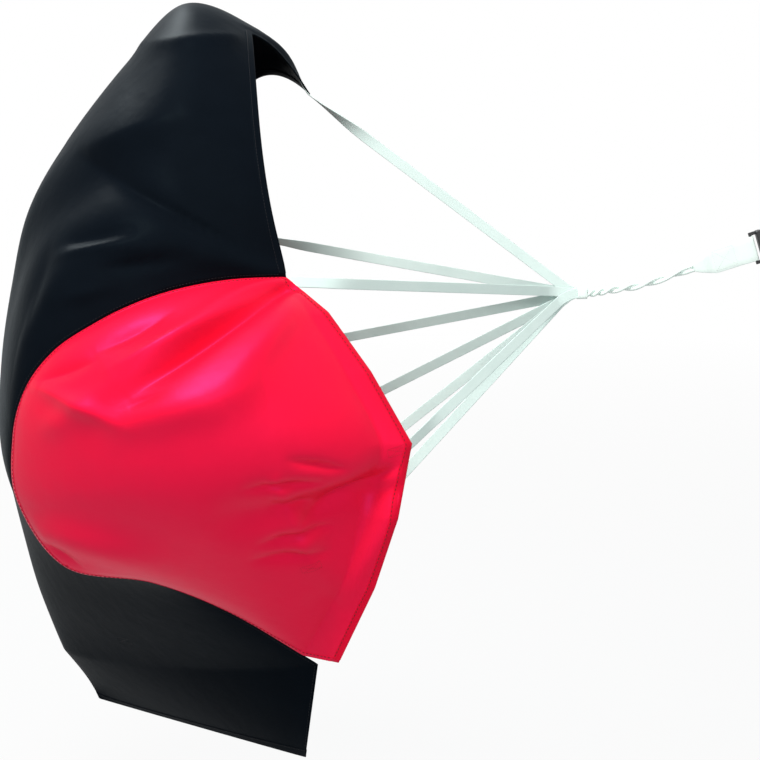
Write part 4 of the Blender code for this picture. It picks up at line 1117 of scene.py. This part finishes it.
def pad_outline(inset):
    """Places of the pad's rim, drawn in by inset, in its own plane."""
    half_y, half_z = PAD_WIDTH / 2 - PAD_CORNER, PAD_HEIGHT / 2 - PAD_CORNER
    places = []
    for side_y, side_z, start in ((1, 1, 0), (-1, 1, 90), (-1, -1, 180), (1, -1, 270)):
        places += arc((side_y * half_y, side_z * half_z), PAD_CORNER - inset, start,
                      start + 90, 12)
        if side_y == side_z:  # a long side comes next
            corner = places[-1]
            places += [at(y, corner.y) for y in
                       steps_between(corner.x, -corner.x, LONG_SIDE_STEPS)[1:-1]]
    return places


def pad_face(middle_x, rim_x, dent):
    """Rings of one face of the pad, from its middle to its rim, with its sewn channels."""
    rows = []
    for share in PAD_RINGS:
        ring = []
        for spot in pad_outline(LINING_THICK):
            y, z = spot.x * share, spot.y * share
            x = middle_x + (rim_x - middle_x) * share ** 6
            for channel in PAD_CHANNEL_SHARES:
                gap = (y - channel * PAD_WIDTH) / CHANNEL_REACH
                x -= dent * math.exp(-gap * gap)
            ring.append(at(x, y, z))
        rows.append(ring)
    return rows


outer_face = pad_face(-PAD_THICK, -0.0078, 0.0)
inner_face = pad_face(-0.0016, -0.0026, CHANNEL_DENT)
cushion = laid("back_pad_cushion", outer_face + inner_face[::-1], BLACK_WEBBING, "pad_cover",
               "pad_foam", round_rows=True, caps=2)
laid("back_pad_mesh", pad_face(-0.0007, -0.0020, CHANNEL_DENT), (LINING, "harness", "pad_lining"),
     "pad_lining", thickness=LINING_THICK, round_rows=True, caps=1)
laid("pad_binding", [[at(x, spot.x, spot.y) for spot in pad_outline(-out)]
                     for out, x in BINDING_OUTER + BINDING_INNER + BINDING_OUTER[:1]],
     BLACK_WEBBING, round_rows=True)
pad_runs = []
for x, way in BINDING_SEWN:
    run = [(at(x, spot.x, spot.y), at(way)) for spot in pad_outline(BINDING_INSET)]
    pad_runs.append(run + run[:1])
for channel in PAD_CHANNEL_SHARES:
    pad_runs.append(straight_run(at(CHANNEL_SEWN_X, channel * PAD_WIDTH), at(0, 0, 0.002), 17,
                                 outward))
stitches("pad_stitches", pad_runs, BLACK_SEWING)


def rounded(points, radius):
    """A line of points whose inner corners are cut back by radius and drawn as curves."""
    out = [points[0]]
    for before, corner, after in zip(points, points[1:], points[2:]):
        start = corner + (before - corner).normalized() * radius
        end = corner + (after - corner).normalized() * radius
        for k in range(5):
            share = k / 4
            out.append((1 - share) ** 2 * start + 2 * share * (1 - share) * corner
                       + share * share * end)
    return out + [points[-1]]


KEEPER_THICK = 0.0012
KEEPER_WIDTH = 0.014
KEEPER_FOOT = 0.008
KEEPER_PLACE_SHARE = 0.711  # of the pad's half width
KEEPER_SEWN = (0.45, 0.75)  # shares of its foot
foot_x = -PAD_THICK - CLEARANCE - KEEPER_THICK / 2
over_x = BELT_X - BELT_THICK / 2 - CLEARANCE - KEEPER_THICK / 2
over_z = WEBBING_HALF + CLEARANCE + KEEPER_THICK / 2
keeper_runs = []
for hand, side in (("left", 1), ("right", -1)):
    y = side * KEEPER_PLACE_SHARE * PAD_WIDTH / 2
    path = [at(x, y, z) for x, z in (
        (foot_x, -over_z - KEEPER_FOOT), (foot_x, -over_z), (over_x, -over_z), (over_x, over_z),
        (foot_x, over_z), (foot_x, over_z + KEEPER_FOOT))]
    band("keeper_" + hand, rounded(path, KEEPER_THICK * 0.8), at(0, KEEPER_WIDTH / 2), KEEPER_THICK,
         BLACK_WEBBING, "pad_keeper_" + hand)
    for end in (-1, 1):
        for share in KEEPER_SEWN:
            place = at(foot_x - KEEPER_THICK / 2 - LIFT, y, end * (over_z + KEEPER_FOOT * share))
            keeper_runs.append(straight_run(place, at(0, 0.001), 5, -outward))
stitches("keeper_stitches", keeper_runs, BLACK_SEWING, pitch=0.002)


# Carried-over nodes
for node in ("anchor_bracket", "anchor_pin", "release_socket", "release_plug", "belt_socket",
             "belt_plug", "belt_slider"):
    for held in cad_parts[node].material_slots:
        held.material = STEEL if node == "anchor_pin" else PLASTIC


# Floor, light and background

WHITE = (1.0, 1.0, 1.0)
FLOOR_GREY = (0.40, 0.40, 0.40)
FLOOR_FADE = (1.0, 7.0, 0.90, 1.0)  # metres from the middle, and how white it shows there
FLOOR_Z = -1.0
FLOOR_HALF = 60.0
SKY = (0.95, 0.97, 1.0)
SKY_STRENGTH = 0.34
# place from the canopy's middle, size, power and colour
LAMPS = (
    ("key", (-0.8, -1.9, 3.1), 1.2, 165.0, (1.0, 0.99, 0.98)),
    ("fill", (0.4, -3.6, 1.0), 2.0, 45.0, (1.0, 1.0, 1.0)),
    ("rim", (-1.0, 2.4, 2.8), 1.6, 170.0, (0.90, 0.98, 1.0)),
)

# a pale floor that shows white, keeps a faint shadow and fades out away from the object
n = Surface("pale_floor")
away = n.add("ShaderNodeVectorMath", Vector=n.place)
away.operation = "LENGTH"
fade = n.add("ShaderNodeMapRange", away.outputs["Value"], *FLOOR_FADE).outputs[0]
both = n.add("ShaderNodeMixShader", n.math("MULTIPLY", n.background_rays(), fade),
             n.add("ShaderNodeBsdfDiffuse", Color=FLOOR_GREY).outputs[0],
             n.add("ShaderNodeEmission", Color=WHITE, Strength=1.0).outputs[0])
n.fill(n.tree.nodes["Material Output"], Surface=both.outputs[0])
floor = placed("floor", mesh_of("floor", [
    (x * FLOOR_HALF, y * FLOOR_HALF, FLOOR_Z) for x, y in ((-1, -1), (1, -1), (1, 1), (-1, 1))],
    [(0, 1, 2, 3)]))
floor.data.materials.append(n.material)

world = bpy.data.worlds.new("studio")
n = Nodes(world)
sky = n.fill(n.tree.nodes["Background"], Color=SKY, Strength=SKY_STRENGTH)
white = n.add("ShaderNodeBackground", Color=WHITE, Strength=1.0)
both = n.add("ShaderNodeMixShader", n.background_rays(), sky.outputs[0], white.outputs[0])
n.fill(n.tree.nodes["World Output"], Surface=both.outputs[0])
scene.world = world

middle = canopy_place((-0.45, 0.0, -0.10))
for name, way, size, power, colour in LAMPS:
    data = bpy.data.lights.new(name, "AREA")
    data.size = size
    data.energy = power
    data.color = colour
    lamp = placed(name, data)
    lamp.location = middle + Vector(way)
    lamp.rotation_euler = (-Vector(way)).to_track_quat("-Z", "Y").to_euler()

scene.view_settings.view_transform = "Standard"
